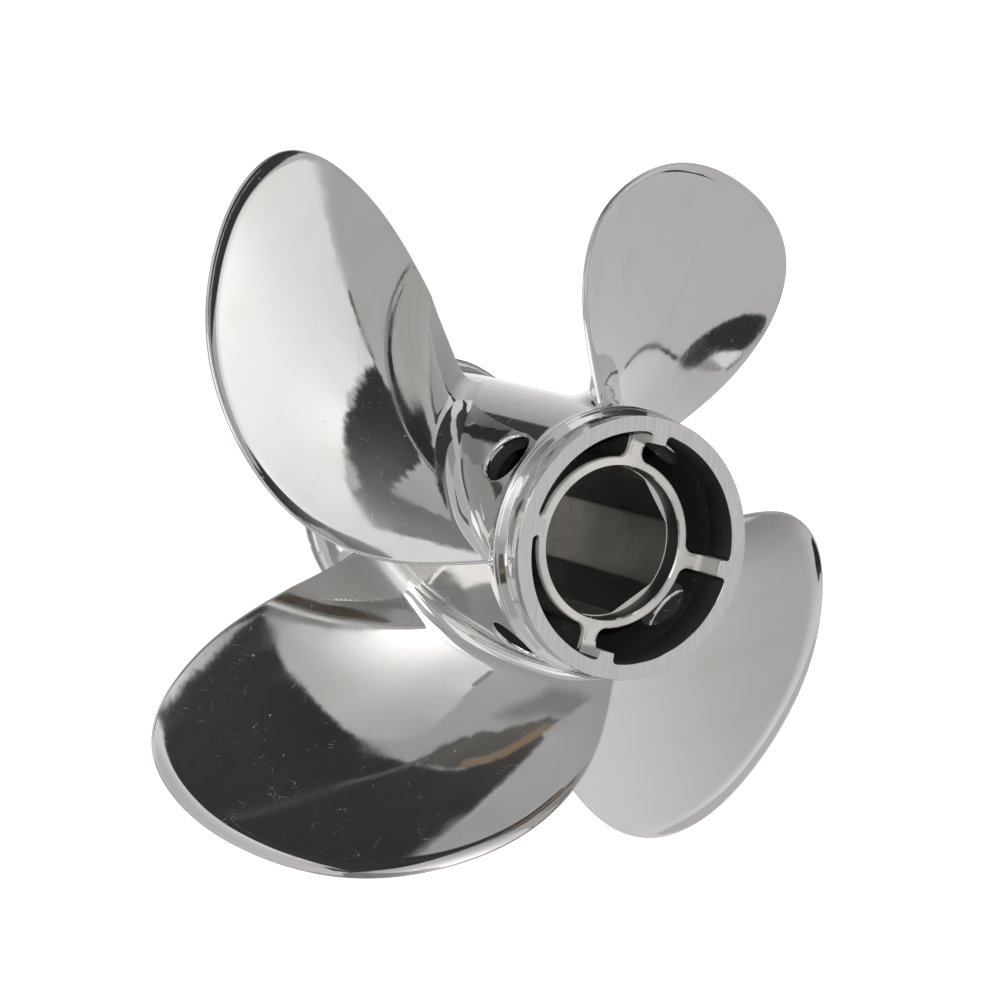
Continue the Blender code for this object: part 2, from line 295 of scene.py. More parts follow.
def turned(points: Array, radians: float) -> Array:
    """Rows of points turned about the Z axis.

    Args:
        points: Rows of positions or of plane points.
        radians: Angle of the turn.

    Returns:
        The turned rows.
    """
    c, s = math.cos(radians), math.sin(radians)
    x, y = points[:, 0], points[:, 1]
    return np.c_[c * x - s * y, s * x + c * y, points[:, 2:]]


def four_times(quarter: Array) -> Array:
    """Closed outline from its first quarter."""
    return np.concatenate([turned(quarter, math.pi / 2 * k) for k in range(4)])


def outward(line: Array) -> Array:
    """Unit normals of a closed plane outline, which point outward.

    Args:
        line: Rows of plane points round the outline.

    Returns:
        One normal for each point.
    """
    along = np.roll(line, -1, axis=0) - np.roll(line, 1, axis=0)
    length = np.linalg.norm(along, axis=1, keepdims=True)
    normal = np.c_[along[:, 1], -along[:, 0]] / np.maximum(length, 1e-9)
    x, y = line.T
    return normal * np.sign((x * np.roll(y, -1) - y * np.roll(x, -1)).sum())


def rounded_corner(before: Array, corner: Array, after: Array, radius: float, cells: int) -> Array:
    """Arc that rounds one corner of an outline.

    Args:
        before: A point towards which the incoming side runs back.
        corner: The sharp corner.
        after: A point towards which the outgoing side runs on.
        radius: Radius of the arc.
        cells: Number of cells along the arc.

    Returns:
        Points of the arc from the incoming to the outgoing side.
    """
    a, b = ((side - corner) / np.linalg.norm(side - corner) for side in (before, after))
    half = math.acos(np.clip(a @ b, -1, 1)) / 2
    reach = radius / math.tan(half)
    centre = corner + (a + b) / np.linalg.norm(a + b) * radius / math.sin(half)
    first, last = (math.atan2(*(corner + side * reach - centre)[::-1]) for side in (a, b))
    sweep = (last - first + math.pi) % (2 * math.pi) - math.pi
    turn = first + sweep * np.linspace(0, 1, cells + 1)
    return centre + radius * np.c_[np.cos(turn), np.sin(turn)]


def quads(ids: Array) -> list:
    """Faces between the neighbouring rows and columns of a grid of vertex indices."""
    corners = ids[:-1, :-1], ids[:-1, 1:], ids[1:, 1:], ids[1:, :-1]
    return np.stack(corners, axis=-1).reshape(-1, 4).tolist()


def linked(name: str, data: bpy.types.ID) -> bpy.types.Object:
    """Make an object and put it in the scene.

    Args:
        name: Object name.
        data: Mesh, lamp or camera.

    Returns:
        The new object.
    """
    obj = bpy.data.objects.new(name, data)
    bpy.context.scene.collection.objects.link(obj)
    return obj


def mesh_object(name: str, verts: Array, faces: list, zones: Array) -> bpy.types.Object:
    """Make a smooth-shaded object in the scene, with its faces turned outward.

    Args:
        name: Object name.
        verts: Rows of positions.
        faces: Vertex indices of each face.
        zones: Material index of each face.

    Returns:
        The new object.
    """
    mesh = bpy.data.meshes.new(name)
    mesh.from_pydata(verts.tolist(), [], faces)
    mesh.polygons.foreach_set("material_index", zones)
    solid = bmesh.new()
    solid.from_mesh(mesh)
    bmesh.ops.recalc_face_normals(solid, faces=solid.faces)
    solid.to_mesh(mesh)
    solid.free()
    mesh.shade_smooth()
    return linked(name, mesh)


def crease_edges(obj: bpy.types.Object) -> None:
    """Keep the clear edges of a smooth-shaded piece sharp."""
    obj.data.set_sharp_from_angle(angle=math.radians(28))


def dress(obj: bpy.types.Object, finishes: list) -> None:
    """Give an object the materials of the finish zones, in zone order.

    Args:
        obj: The piece.
        finishes: Materials of the finish zones, in zone order.
    """
    for material in finishes:
        obj.data.materials.append(material)


@dataclass
class LoopStack:
    """Closed mesh woven from loops of equal length."""

    loops: list[Array] = field(default_factory=list)
    zones: list[int] = field(default_factory=list)

    def add(self, plane: Array, height: float | Array, zone: Zone) -> None:
        """Add a loop, and give the zone of the strip that follows it.

        Args:
            plane: Rows of plane points.
            height: One height, or one per point.
            zone: Finish of the strip between this loop and the next.
        """
        self.loops.append(np.c_[plane, np.broadcast_to(height, len(plane))])
        self.zones.append(zone.value)

    def build(self, name: str, caps: tuple = ()) -> bpy.types.Object:
        """Weave the loops into an object.

        Args:
            name: Object name.
            caps: Zones of the two end faces, or nothing if the last loop joins the first.

        Returns:
            The new object.
        """
        ids = np.arange(sum(map(len, self.loops))).reshape(len(self.loops), -1)
        faces = ids[[0, -1]].tolist() if caps else []
        around = np.c_[ids, ids[:, :1]]
        strips = quads(around if caps else np.r_[around, around[:1]])
        zones = [cap.value for cap in caps] + np.repeat(self.zones, ids.shape[1])[:len(strips)].tolist()
        return mesh_object(name, np.concatenate(self.loops), faces + strips, zones)


# Sub-assemblies


@dataclass
class Blade:
    """One blade with rounded edges, a cupped rim, a creased root and a fillet that runs onto the barrel."""

    sizes: BladeSizes
    hub: HubSizes
    number: int

    def __post_init__(self) -> None:
        """Work out the edge curves and the heights of the rows."""
        s = self.sizes
        self.base = self.hub.barrel_radius
        across = np.linspace(0, 1, s.chord_cells + 1)
        self.across = 0.5 * across + 0.25 * (1 - np.cos(math.pi * across))
        outline = plane_points(s.trailing_edge + s.tip_edge + s.leading_edge)
        first, last = len(s.trailing_edge) - 1, len(s.trailing_edge + s.tip_edge)
        self.trailing = spline(outline, s.edge_cells, 0, first)
        self.tip = spline(outline, s.edge_cells, first, last)
        self.leading = spline(outline, s.edge_cells, last)[::-1]
        full = s.trailing_edge[-1][0] * MM - self.base
        top = s.fillet_margin * max(s.fillets)
        low = top * (1 - np.cos(np.linspace(0, math.pi / 2, s.fillet_rows + 1)))
        rest = np.linspace(top, full, s.span_cells - s.fillet_rows + 1)[1:]
        self.heights = np.r_[s.skirt_rows, low, rest] / full
        self.filleted = np.flatnonzero(self.heights * full < s.fillet_margin * top)

    def edge_angle(self, edge: Array, radius: Array) -> Array:
        """Angle of an edge curve at each radius, in radians."""
        return np.interp(radius, np.hypot(*edge.T), np.arctan2(edge[:, 1], edge[:, 0]))

    def plan(self) -> list[Array]:
        """Radius and angle of the grid points, rows from root to tip, trailing to leading edge.

        Returns:
            Grid of the radii and grid of the angles in radians.
        """
        a, b = self.across[None, :], self.heights[:, None]
        sides = []
        for edge in (self.trailing, self.leading):
            radius = self.base + (math.hypot(*edge[-1]) - self.base) * b
            sides.append((radius, self.edge_angle(edge, radius)))
        length = lengths(self.tip)
        x, y = (np.interp(self.across * length[-1], length, self.tip[:, k]) for k in (0, 1))
        grids = []
        for te, le, top in zip(*sides, (np.hypot(x, y), np.arctan2(y, x))):
            root = te[0] + (le[0] - te[0]) * a
            corners = (1 - b) * root + b * (top[0] + (top[-1] - top[0]) * a)
            grids.append(te + (le - te) * a + (1 - b) * root + b * top[None, :] - corners)
        return grids

    def face(self, radius: Array, angle: Array, lift: Array) -> Array:
        """Points of the helical pressure face, lifted square to the blade section.

        Args:
            radius: Radius of each point.
            angle: Angle of each point from the reference line, in radians.
            lift: Distance from the face towards the aft end.

        Returns:
            Positions, with the last axis of length 3.
        """
        s = self.sizes
        span = s.tip_radius - self.base
        over = (radius - self.base) / span
        pitch = s.pitch_at_tip + s.pitch_gain_at_root * np.clip(1 - over, 0, None) ** s.pitch_power
        rise = pitch / (2 * math.pi * radius)
        slant = np.hypot(1, rise)
        height = s.root_height - s.forward_rake * span * over - s.rake_bow * 4 * over * (1 - over)
        off = np.degrees(angle) / s.camber_angle
        height = height + np.where(off > 0, s.trailing_camber, s.leading_camber) * off ** 2
        height = height + pitch * angle / (2 * math.pi)
        turn = angle - lift * rise / slant / radius
        return np.stack([radius * np.cos(turn), radius * np.sin(turn), height + lift / slant], axis=-1)

    def cup(self, radius: Array, angle: Array) -> Array:
        """Lift of the rim towards the aft end near the trailing edge and the tip.

        Args:
            radius: Radius of the grid points.
            angle: Their angle from the reference line, in radians.

        Returns:
            Lift of each point.
        """
        s = self.sizes
        rim = np.concatenate([self.trailing, self.tip])[::2]
        place = np.linspace(0, 1, len(rim))
        size = smoothstep(place / s.cup_whole) * (1 - smoothstep((place - s.cup_end) / (1 - s.cup_end)))
        flat = np.stack([radius * np.cos(angle), radius * np.sin(angle)], axis=-1)
        gap = np.linalg.norm(flat[..., None, :] - rim, axis=-1)
        share = np.clip(1 - gap.min(axis=-1) / s.cup_width, 0, None)
        return s.cup_height * size[gap.argmin(axis=-1)] * share ** 2

    def bevel(self, radius: Array, angle: Array) -> tuple[Array, Array]:
        """Fall of the pressure face between the crease and the leading edge, and where it is ground.

        Args:
            radius: Radius of the grid points.
            angle: Their angle from the reference line, in radians.

        Returns:
            Depth of the fall at each point, and True where the face is ground.
        """
        s = self.sizes
        crease = spline(plane_points(s.crease), 400)
        leading = self.edge_angle(self.leading, radius)
        width = (self.edge_angle(crease, radius) - leading) * radius
        past = width - (angle - leading) * radius
        rounded = (past + np.sqrt(past ** 2 + s.crease_round ** 2)) / 2
        tilt = s.bevel_drop / s.bevel_width * smoothstep((width - s.bevel_start) / s.bevel_run)
        return tilt * rounded, (past > s.ground_past) & (width > s.ground_width)

    def nose(self, a: Array, b: Array) -> Array:
        """Share of the thick nose: whole at the leading edge near the hub."""
        s = self.sizes
        return smoothstep(1 - b / s.nose_span) * smoothstep((a - s.nose_start) / (1 - s.nose_start))

    def thickness(self, a: Array, b: Array) -> Array:
        """Thickness square to the face at shares across and along the blade.

        Args:
            a: Share of the way from the trailing to the leading edge.
            b: Share of the way from root to tip.

        Returns:
            Thickness at each point.
        """
        s = self.sizes
        edge = s.edge_thickness + s.nose_thickness * self.nose(a, b)
        full = s.root_thickness + (s.tip_thickness - s.root_thickness) * b ** s.taper_power
        at = a ** (1 - s.skew * (1 - b))
        power = s.fullness + s.fullness_at_trailing * (1 - a) ** 2
        crown = (4 * at * (1 - at)) ** power * (1 - b ** s.tip_power)
        return edge + (full - edge) * crown

    def around(self, grid: Array) -> Array:
        """Rim of a grid: up the trailing edge, over the tip and down the leading edge."""
        return np.concatenate([grid[:, 0], grid[-1, 1:], grid[-2::-1, -1]])

    def rim_arcs(self, pressure: Array, suction: Array) -> Array:
        """Rounding points round the rim, one row per rim point, pressure to suction side.

        Args:
            pressure: Grid of positions on the pressure face.
            suction: The same on the suction face.

        Returns:
            Positions, by rim point and by cell of the arc.
        """
        s = self.sizes
        top, bottom = self.around(pressure), self.around(suction)
        p = pressure
        inside = np.concatenate([p[:-1, 1], p[-2:-1, 1], p[-2, 1:-1], p[-2:-1, -2], p[-2::-1, -2]])
        centre, half = (top + bottom) / 2, (top - bottom) / 2
        out = np.cross(np.gradient(centre, axis=0), half)
        out /= np.linalg.norm(out, axis=1, keepdims=True)
        out *= np.sign((out * (top - inside)).sum(axis=1, keepdims=True))
        nose = self.nose(np.float64(1), self.heights.clip(0))
        reach = np.full(len(top), s.edge_round)
        reach[-len(nose):] += s.nose_round * nose[::-1]
        turn = np.linspace(0, math.pi, s.arc_cells + 1)[None, :, None]
        out *= reach[:, None]
        return centre[:, None] + half[:, None] * np.cos(turn) + out[:, None] * np.sin(turn)

    def fillet(self, loop: Array, place: Array) -> Array:
        """Spread a closed section loop outward along the barrel by the root fillet.

        Args:
            loop: Points round the section.
            place: Share round the section of each point, 0 at the trailing edge, 0.5 at the leading one.

        Returns:
            The spread loop.
        """
        s = self.sizes
        sizes = np.array(s.fillets + s.fillets[:1])
        at = place * len(s.fillets)
        k = np.clip(at.astype(int), 0, len(s.fillets) - 1)
        size = sizes[k] + (sizes[k + 1] - sizes[k]) * smoothstep(at - k)
        radius = np.hypot(loop[:, 0], loop[:, 1])
        flat = np.c_[radius * np.unwrap(np.arctan2(loop[:, 1], loop[:, 0])), loop[:, 2]]
        over = (radius - self.base) / size
        spread = size * (1 - np.sqrt(1 - (1 - np.clip(over, 0, 1)) ** 2))
        spread += s.skirt * np.clip((self.base - radius) / -s.skirt_rows[0], 0, 1)
        flat = flat + outward(flat) * spread[:, None]
        angle = flat[:, 0] / radius
        return np.c_[radius * np.cos(angle), radius * np.sin(angle), flat[:, 1]]

    def build(self, finishes: list) -> bpy.types.Object:
        """Weave the two faces, the rounded rim and a cap inside the barrel wall.

        Args:
            finishes: Materials of the finish zones, in zone order.

        Returns:
            The dressed piece.
        """
        s = self.sizes
        radius, angle = self.plan()
        fall, ground = self.bevel(radius, angle)
        lift = self.cup(radius, angle) - fall
        depth = self.thickness(self.across[None, :], self.heights.clip(0)[:, None])
        pressure, suction = self.face(radius, angle, lift), self.face(radius, angle, lift - depth)
        arcs = self.rim_arcs(pressure, suction)
        points = np.concatenate([part.reshape(-1, 3) for part in (pressure, suction, arcs[:, 1:-1])])
        front = np.arange(radius.size).reshape(radius.shape)
        back = front + front.size
        between = np.arange(2 * front.size, len(points)).reshape(len(arcs), -1)
        rim = np.c_[self.around(front), between, self.around(back)]

        def section(row: int) -> Array:
            """Vertices round one section, from the trailing to the leading edge and back."""
            return np.r_[front[row], rim[-1 - row, 1:-1], back[row, ::-1], rim[row, -2:0:-1]]

        across = np.linspace(0, 0.5, front.shape[1])
        leading = np.full(s.arc_cells - 1, 0.5)
        for row in self.filleted:
            loop = section(row)
            points[loop] = self.fillet(points[loop], np.r_[across, leading, across + 0.5, 0 * leading])
        root = section(0)
        sunk = points[root]
        sunk[:, :2] *= (self.base - s.skirt) / np.hypot(sunk[:, 0], sunk[:, 1])[:, None]
        inner = len(points) + np.arange(len(root) + 1) % len(root)
        cols, turn = front.shape[1], front.shape[1] + s.arc_cells - 1
        faces = quads(front) + quads(back[::-1]) + quads(rim.T)
        faces += quads(np.stack([np.r_[root, root[:1]], inner]))
        faces += quads(np.stack([inner[:cols], inner[turn:turn + cols][::-1]]))
        faces += [inner[cols - 1:turn + 1].tolist(), inner[turn + cols - 1:].tolist()]
        zones = np.zeros(len(faces), np.int32)
        zones[:ground[1:, 1:].size] = ground[:-1, :-1].ravel() * Zone.BEVEL.value
        points = turned(np.concatenate([points, sunk]), math.radians(s.reference(self.number)))
        obj = mesh_object(f"blade_{self.number + 1}", points, faces, zones)
        dress(obj, finishes)
        return obj


@dataclass
class HubBarrel:
    """Outer wall of the hub: flare, bead, machined aft face with lugs, and passage lining."""

    sizes: HubSizes

    def inner_outline(self, reach: float, fillet: float) -> Array:
        """Passage wall outline with four lugs that point inward.

        Args:
            reach: Radius of the lug tips.
            fillet: Radius between lug and wall.

        Returns:
            Closed row of plane points with rising angle.
        """
        s = self.sizes
        wall, half = s.passage_radius, s.lug_half_width
        base = math.degrees(math.asin(s.lug_base_half_width / wall))
        low_start, low, high, high_end = polar_point(wall, np.array([-base - 5, -base, base, base + 5]))
        path = (low_start, low, np.array([reach, -half]), np.array([reach, half]), high, high_end)
        tip = min(s.lug_round, 0.3 * (wall - reach))
        rounds = ((fillet, 8), (tip, 5), (tip, 5), (fillet, 8))
        parts = [rounded_corner(*path[k:k + 3], *rounds[k]) for k in range(4)]
        last, first = (math.degrees(math.atan2(y, x)) for x, y in (parts[-1][-1], parts[0][0]))
        arc = np.linspace(last, 90 + first, s.arc_cells + 1)[1:-1]
        return four_times(np.concatenate([*parts, polar_point(wall, arc)]))

    def outer_profile(self) -> Array:
        """Outside of the wall as (radius, height) from the front end up to the aft face.

        Returns:
            Rows of radius and height.
        """
        s = self.sizes
        barrel, front = s.barrel_radius, s.front_radius
        edge = [(front - s.front_round, 0.0), (front, s.front_round), (front, s.front_land)]
        t = np.linspace(0, math.pi / 2, 25)[1:]
        flare = np.c_[
            barrel + (front - barrel) * (1 - np.sin(t)),
            s.front_land + (s.flare_length - s.front_land) * (1 - np.cos(t)),
        ]
        foot = s.bead_height - s.bead_half_width - s.bead_gap
        wall = [(barrel, z) for z in np.linspace(s.flare_length, foot, 30)[1:]]
        t = np.linspace(-1, 1, 41)[1:-1]
        groove = s.groove_depth * np.exp(-((t - s.groove_place) / s.groove_width) ** 2)
        crown = s.bead_rise * (1 - t * t) ** s.bead_power - groove
        drop = (barrel - s.band_radius) * smoothstep((t + 0.1) / 1.1)
        bead = np.c_[barrel + crown - drop, s.bead_height + t * s.bead_half_width]
        t = np.linspace(0, 1, 13)
        low = s.bead_height + s.bead_half_width + s.band_gap
        rise = (s.aft_radius - s.band_radius) * t ** s.band_power - s.band_sag * np.sin(math.pi * t)
        band = np.c_[s.band_radius + rise, low + (s.length - s.edge_break - low) * t]
        return np.concatenate([edge, flare, wall, bead, band])

    def build(self, finishes: list) -> bpy.types.Object:
        """Weave the wall from circles outside and lug outlines inside.

        Args:
            finishes: Materials of the finish zones, in zone order.

        Returns:
            The dressed piece.
        """
        s = self.sizes
        lug = self.inner_outline(s.lug_reach, s.lug_fillet)
        boss = self.inner_outline(s.boss_reach, s.boss_fillet)
        unit = lug / np.hypot(*lug.T)[:, None]
        stack = LoopStack()
        for radius, height in self.outer_profile():
            stack.add(unit * radius, height, Zone.POLISHED)
        stack.add(unit * (s.aft_radius - s.edge_break), s.length, Zone.MACHINED)
        stack.add(unit * (s.passage_radius + s.aft_land), s.length, Zone.MACHINED)
        stack.add(lug * s.wall_break, s.length, Zone.POLISHED)
        floor = s.length - s.lug_depth
        for z in np.linspace(s.length - s.edge_break, floor + s.lug_foot, 6):
            stack.add(lug, z, Zone.CAST)
        for t in np.linspace(0, math.pi / 2, 8)[1:]:
            foot = self.inner_outline(s.lug_reach - s.lug_foot * (1 - math.cos(t)), s.lug_fillet)
            stack.add(foot, floor + s.lug_foot * (1 - math.sin(t)) - s.tiny, Zone.CAST)
        # Passage walls down to the front mouth get the painted shade.
        for z in np.linspace(floor - s.boss_gap, s.boss_bottom, 24):
            stack.add(boss, z, Zone.PAINTED_SHADE_CAST)
        for t in np.linspace(0, 1, 6)[1:]:
            radius = s.passage_radius + (s.front_mouth_radius - s.passage_radius) * t
            stack.add(unit * radius, s.boss_bottom * (1 - t) * s.mouth_share, Zone.PAINTED_SHADE_CAST)
        obj = stack.build("hub_barrel")
        crease_edges(obj)
        for face in obj.data.polygons:
            x, y, z = face.center
            lug_side = z > floor - 5 * s.tiny and math.hypot(x, y) < s.passage_radius - s.lug_wall_gap
            if lug_side and face.material_index == Zone.CAST.value:
                face.material_index = Zone.LEDGE.value
        dress(obj, finishes)
        return obj


@dataclass
class InnerHub:
    """Inner hub tube on four ribs, with the bore, the socket and the shaft hole."""

    sizes: InnerHubSizes

    def outline(self) -> Array:
        """Outside of the tube and its ribs, as a closed row of plane points with rising angle.

        Returns:
            Rows of plane points.
        """
        s = self.sizes
        half = s.rib_half_width
        root = math.degrees(math.asin(half / s.radius))
        low_start, low, high, high_end = polar_point(s.radius, np.array([-root - 8, -root, root, root + 8]))
        end_low, end_high = np.array([s.rib_reach, -half]), np.array([s.rib_reach, half])
        low_arc = rounded_corner(low_start, low, end_low, s.root_fillet, 9)
        high_arc = rounded_corner(end_high, high, high_end, s.root_fillet, 9)
        share = np.linspace(0, 1, 15)[1:, None]
        side_out = low_arc[-1] + (end_low - low_arc[-1]) * share
        side_in = end_high + (high_arc[0] - end_high) * share
        corner = 45 - math.degrees(math.acos(s.socket_flat / s.socket_corner))
        last = math.degrees(math.atan2(*high_arc[-1, ::-1]))
        arc = np.r_[
            np.linspace(last, corner, 12)[1:], np.linspace(corner, 90 - corner, 34)[1:],
            np.linspace(90 - corner, 90 - last, 12)[1:-1],
        ]
        cap = [(s.rib_reach, y) for y in np.linspace(-half, half, 5)[1:]]
        hub = polar_point(s.radius, arc)
        return four_times(np.concatenate([low_arc, side_out, cap, side_in, high_arc[1:], hub]))

    def socket_outline(self, unit: Array) -> Array:
        """Square with its corners turned down, at the same angles as the other loops.

        Args:
            unit: Plane directions of a loop.

        Returns:
            Rows of plane points.
        """
        s = self.sizes
        off = (np.arctan2(unit[:, 1], unit[:, 0]) + math.pi) % (math.pi / 2) - math.pi / 4
        return unit * np.minimum(s.socket_flat / np.cos(off), s.socket_corner)[:, None]

    def bottom_at(self, plane: Array) -> Array:
        """Height of the front end, which rises along the ribs."""
        s = self.sizes
        return s.bottom + s.rib_rise * smoothstep((np.hypot(*plane.T) - s.radius) / s.rib_rise_run)

    def build(self, finishes: list) -> bpy.types.Object:
        """Weave the tube from the aft face over the outside, the front end and the socket.

        Args:
            finishes: Materials of the finish zones, in zone order.

        Returns:
            The dressed piece.
        """
        s = self.sizes
        outline = self.outline()
        inset = outline - outward(outline) * s.edge_radius
        unit = outline / np.hypot(*outline.T)[:, None]
        ring = unit * (s.radius - 2 * s.edge_radius)
        bore, shaft = unit * s.bore_radius, unit * s.shaft_hole_radius
        stack = LoopStack()
        stack.add(unit * (s.bore_radius + s.bore_chamfer), s.top, Zone.LEDGE)
        for t in np.linspace(0, 1, 12):
            stack.add(ring + (inset - ring) * t, s.top, Zone.LEDGE)
        for t in np.linspace(0, math.pi / 2, 6)[1:]:
            plane = inset + (outline - inset) * math.sin(t)
            stack.add(plane, s.top - s.edge_radius * (1 - math.cos(t)), Zone.LEDGE)
        deep = s.top - 3 * s.edge_radius
        # The outside of the tube between the ribs gets the painted shade.
        for t in np.linspace(0, 1, 20)[:-1]:
            stack.add(outline, deep + (self.bottom_at(outline) - deep) * t, Zone.PAINTED_SHADE_CAST)
        for t in np.linspace(0, 1, 8):
            plane = outline + (ring - outline) * t
            stack.add(plane, self.bottom_at(plane), Zone.CAST)
        stack.add(unit * (s.shaft_hole_radius + s.shaft_hole_chamfer), s.bottom, Zone.MACHINED)
        stack.add(shaft, s.bottom + s.shaft_hole_chamfer, Zone.MACHINED)
        stack.add(shaft, s.socket_bottom, Zone.CAST)
        for z in np.linspace(s.socket_bottom, s.socket_top, 12)[:-1]:
            stack.add(self.socket_outline(unit), z, Zone.CAST)
        stack.add(self.socket_outline(unit), s.socket_top, Zone.LEDGE)
        stack.add(bore, s.socket_top, Zone.CAST)
        stack.add(bore, s.top - s.bore_chamfer, Zone.POLISHED)
        obj = stack.build("inner_hub")
        crease_edges(obj)
        for face in obj.data.polygons:
            x, y, z = face.center
            if s.socket_bottom < z < s.socket_top and abs(math.hypot(x, y) - s.socket_corner) < s.tolerance:
                face.material_index = Zone.BORED.value
        dress(obj, finishes)
        return obj


@dataclass
class Vents:
    """Cutters for the round vent holes, with a rounded lip that follows the barrel."""

    sizes: VentSizes
    hub: HubSizes
    blades: BladeSizes

    def cutter(self, angle: float) -> bpy.types.Object:
        """Make one cutter at an angle in degrees.

        Args:
            angle: Direction of the vent in degrees.

        Returns:
            The cutter.
        """
        s = self.sizes
        t = np.linspace(0, math.pi / 2, 7)
        wide = s.radius + s.lip * s.overlap
        sections = [(s.radius, s.depth), (s.radius, s.lip_depth)]
        sections += zip(s.radius + s.lip * (1 - np.cos(t)), s.lip * (1 - np.sin(t)))
        sections += [(wide, s.low_end), (wide, s.far_end)]
        turn = np.linspace(0, 2 * math.pi, s.sides, endpoint=False)
        stack = LoopStack()
        for radius, depth in sections:
            y, z = radius * np.cos(turn), radius * np.sin(turn)
            plane = np.c_[np.sqrt(self.hub.barrel_radius ** 2 - y ** 2) - depth, y]
            # The vent walls get the painted shade, and the lip stays polished.
            zone = Zone.PAINTED_SHADE_CAST if depth == s.depth else Zone.POLISHED
            stack.add(turned(plane, math.radians(angle)), z + s.height, zone)
        return stack.build("vent_cutter", (Zone.CAST, Zone.POLISHED))

    def cut_barrel(self, barrel: bpy.types.Object, finishes: list) -> None:
        """Cut all the vents through the barrel with exact Booleans, and remove the cutters.

        Args:
            barrel: The dressed hub barrel.
            finishes: Materials of the finish zones, in zone order.
        """
        tools = []
        for number in range(self.blades.count):
            tool = self.cutter(self.blades.reference(number) + self.sizes.angle)
            dress(tool, finishes)
            tools.append(tool)
            step = barrel.modifiers.new("cut", "BOOLEAN")
            step.operation = "DIFFERENCE"
            step.object = tool
            step.solver = "EXACT"
            step.material_mode = "TRANSFER"
        result = barrel.evaluated_get(bpy.context.evaluated_depsgraph_get())
        mesh = bpy.data.meshes.new_from_object(result)
        barrel.modifiers.clear()
        barrel.data = mesh
        for tool in tools:
            bpy.data.objects.remove(tool)
        crease_edges(barrel)


# Finishes


@dataclass
class NodeDesk:
    """Short hand for adding and linking shader nodes."""

    tree: bpy.types.NodeTree

    def fill(self, node: bpy.types.Node, values: dict) -> bpy.types.Node:
        """Link or set inputs of a node, by name or number.

        Args:
            node: The node.
            values: Values or sockets by name or number of the input.

        Returns:
            The same node.
        """
        for key, value in values.items():
            if isinstance(value, bpy.types.NodeSocket):
                self.tree.links.new(value, node.inputs[key])
            else:
                node.inputs[key].default_value = value
        return node

    def add(self, kind: str, values: dict, **settings: object) -> bpy.types.Node:
        """Add a node, set its properties and fill its inputs.

        Args:
            kind: Kind of shader node.
            values: Values or sockets by name or number of the input.
            settings: Properties of the node.

        Returns:
            The new node.
        """
        node = self.tree.nodes.new("ShaderNode" + kind)
        for name, value in settings.items():
            setattr(node, name, value)
        return self.fill(node, values)

    def math(self, operation: str, *values: object) -> bpy.types.NodeSocket:
        """Add a maths node and return its output."""
        return self.add("Math", dict(enumerate(values)), operation=operation).outputs[0]

    def times(self, first: object, second: object) -> bpy.types.NodeSocket:
        """Product of two values."""
        return self.math("MULTIPLY", first, second)

    def plus(self, first: object, second: object) -> bpy.types.NodeSocket:
        """Sum of two values."""
        return self.math("ADD", first, second)

    def minus(self, first: object, second: object) -> bpy.types.NodeSocket:
        """Difference of two values."""
        return self.math("SUBTRACT", first, second)

    def noise(self, place: object, scale: float, detail: float) -> bpy.types.NodeSocket:
        """Value of a noise texture."""
        return self.add("TexNoise", {"Vector": place, "Scale": scale, "Detail": detail}).outputs[0]

    def mapped(self, place: object, **values: object) -> bpy.types.NodeSocket:
        """Position moved, turned or stretched by a mapping node."""
        return self.add("Mapping", {"Vector": place, **values}).outputs[0]

    def grained(self, place: object, turn: tuple, stretch: tuple, detail: float) -> bpy.types.NodeSocket:
        """Noise along a turned direction."""
        return self.noise(self.mapped(self.mapped(place, Rotation=turn), Scale=stretch), 1.0, detail)

    def step(self, value: object, low: object, high: object) -> bpy.types.NodeSocket:
        """Smooth step between two levels."""
        return self.add("MapRange", {0: value, 1: low, 2: high}, interpolation_type="SMOOTHSTEP").outputs[0]

    def mixed(self, share: object, low: object, high: object) -> bpy.types.NodeSocket:
        """Blend of two colours."""
        return self.add("Mix", {0: share, 6: low, 7: high}, data_type="RGBA").outputs[2]


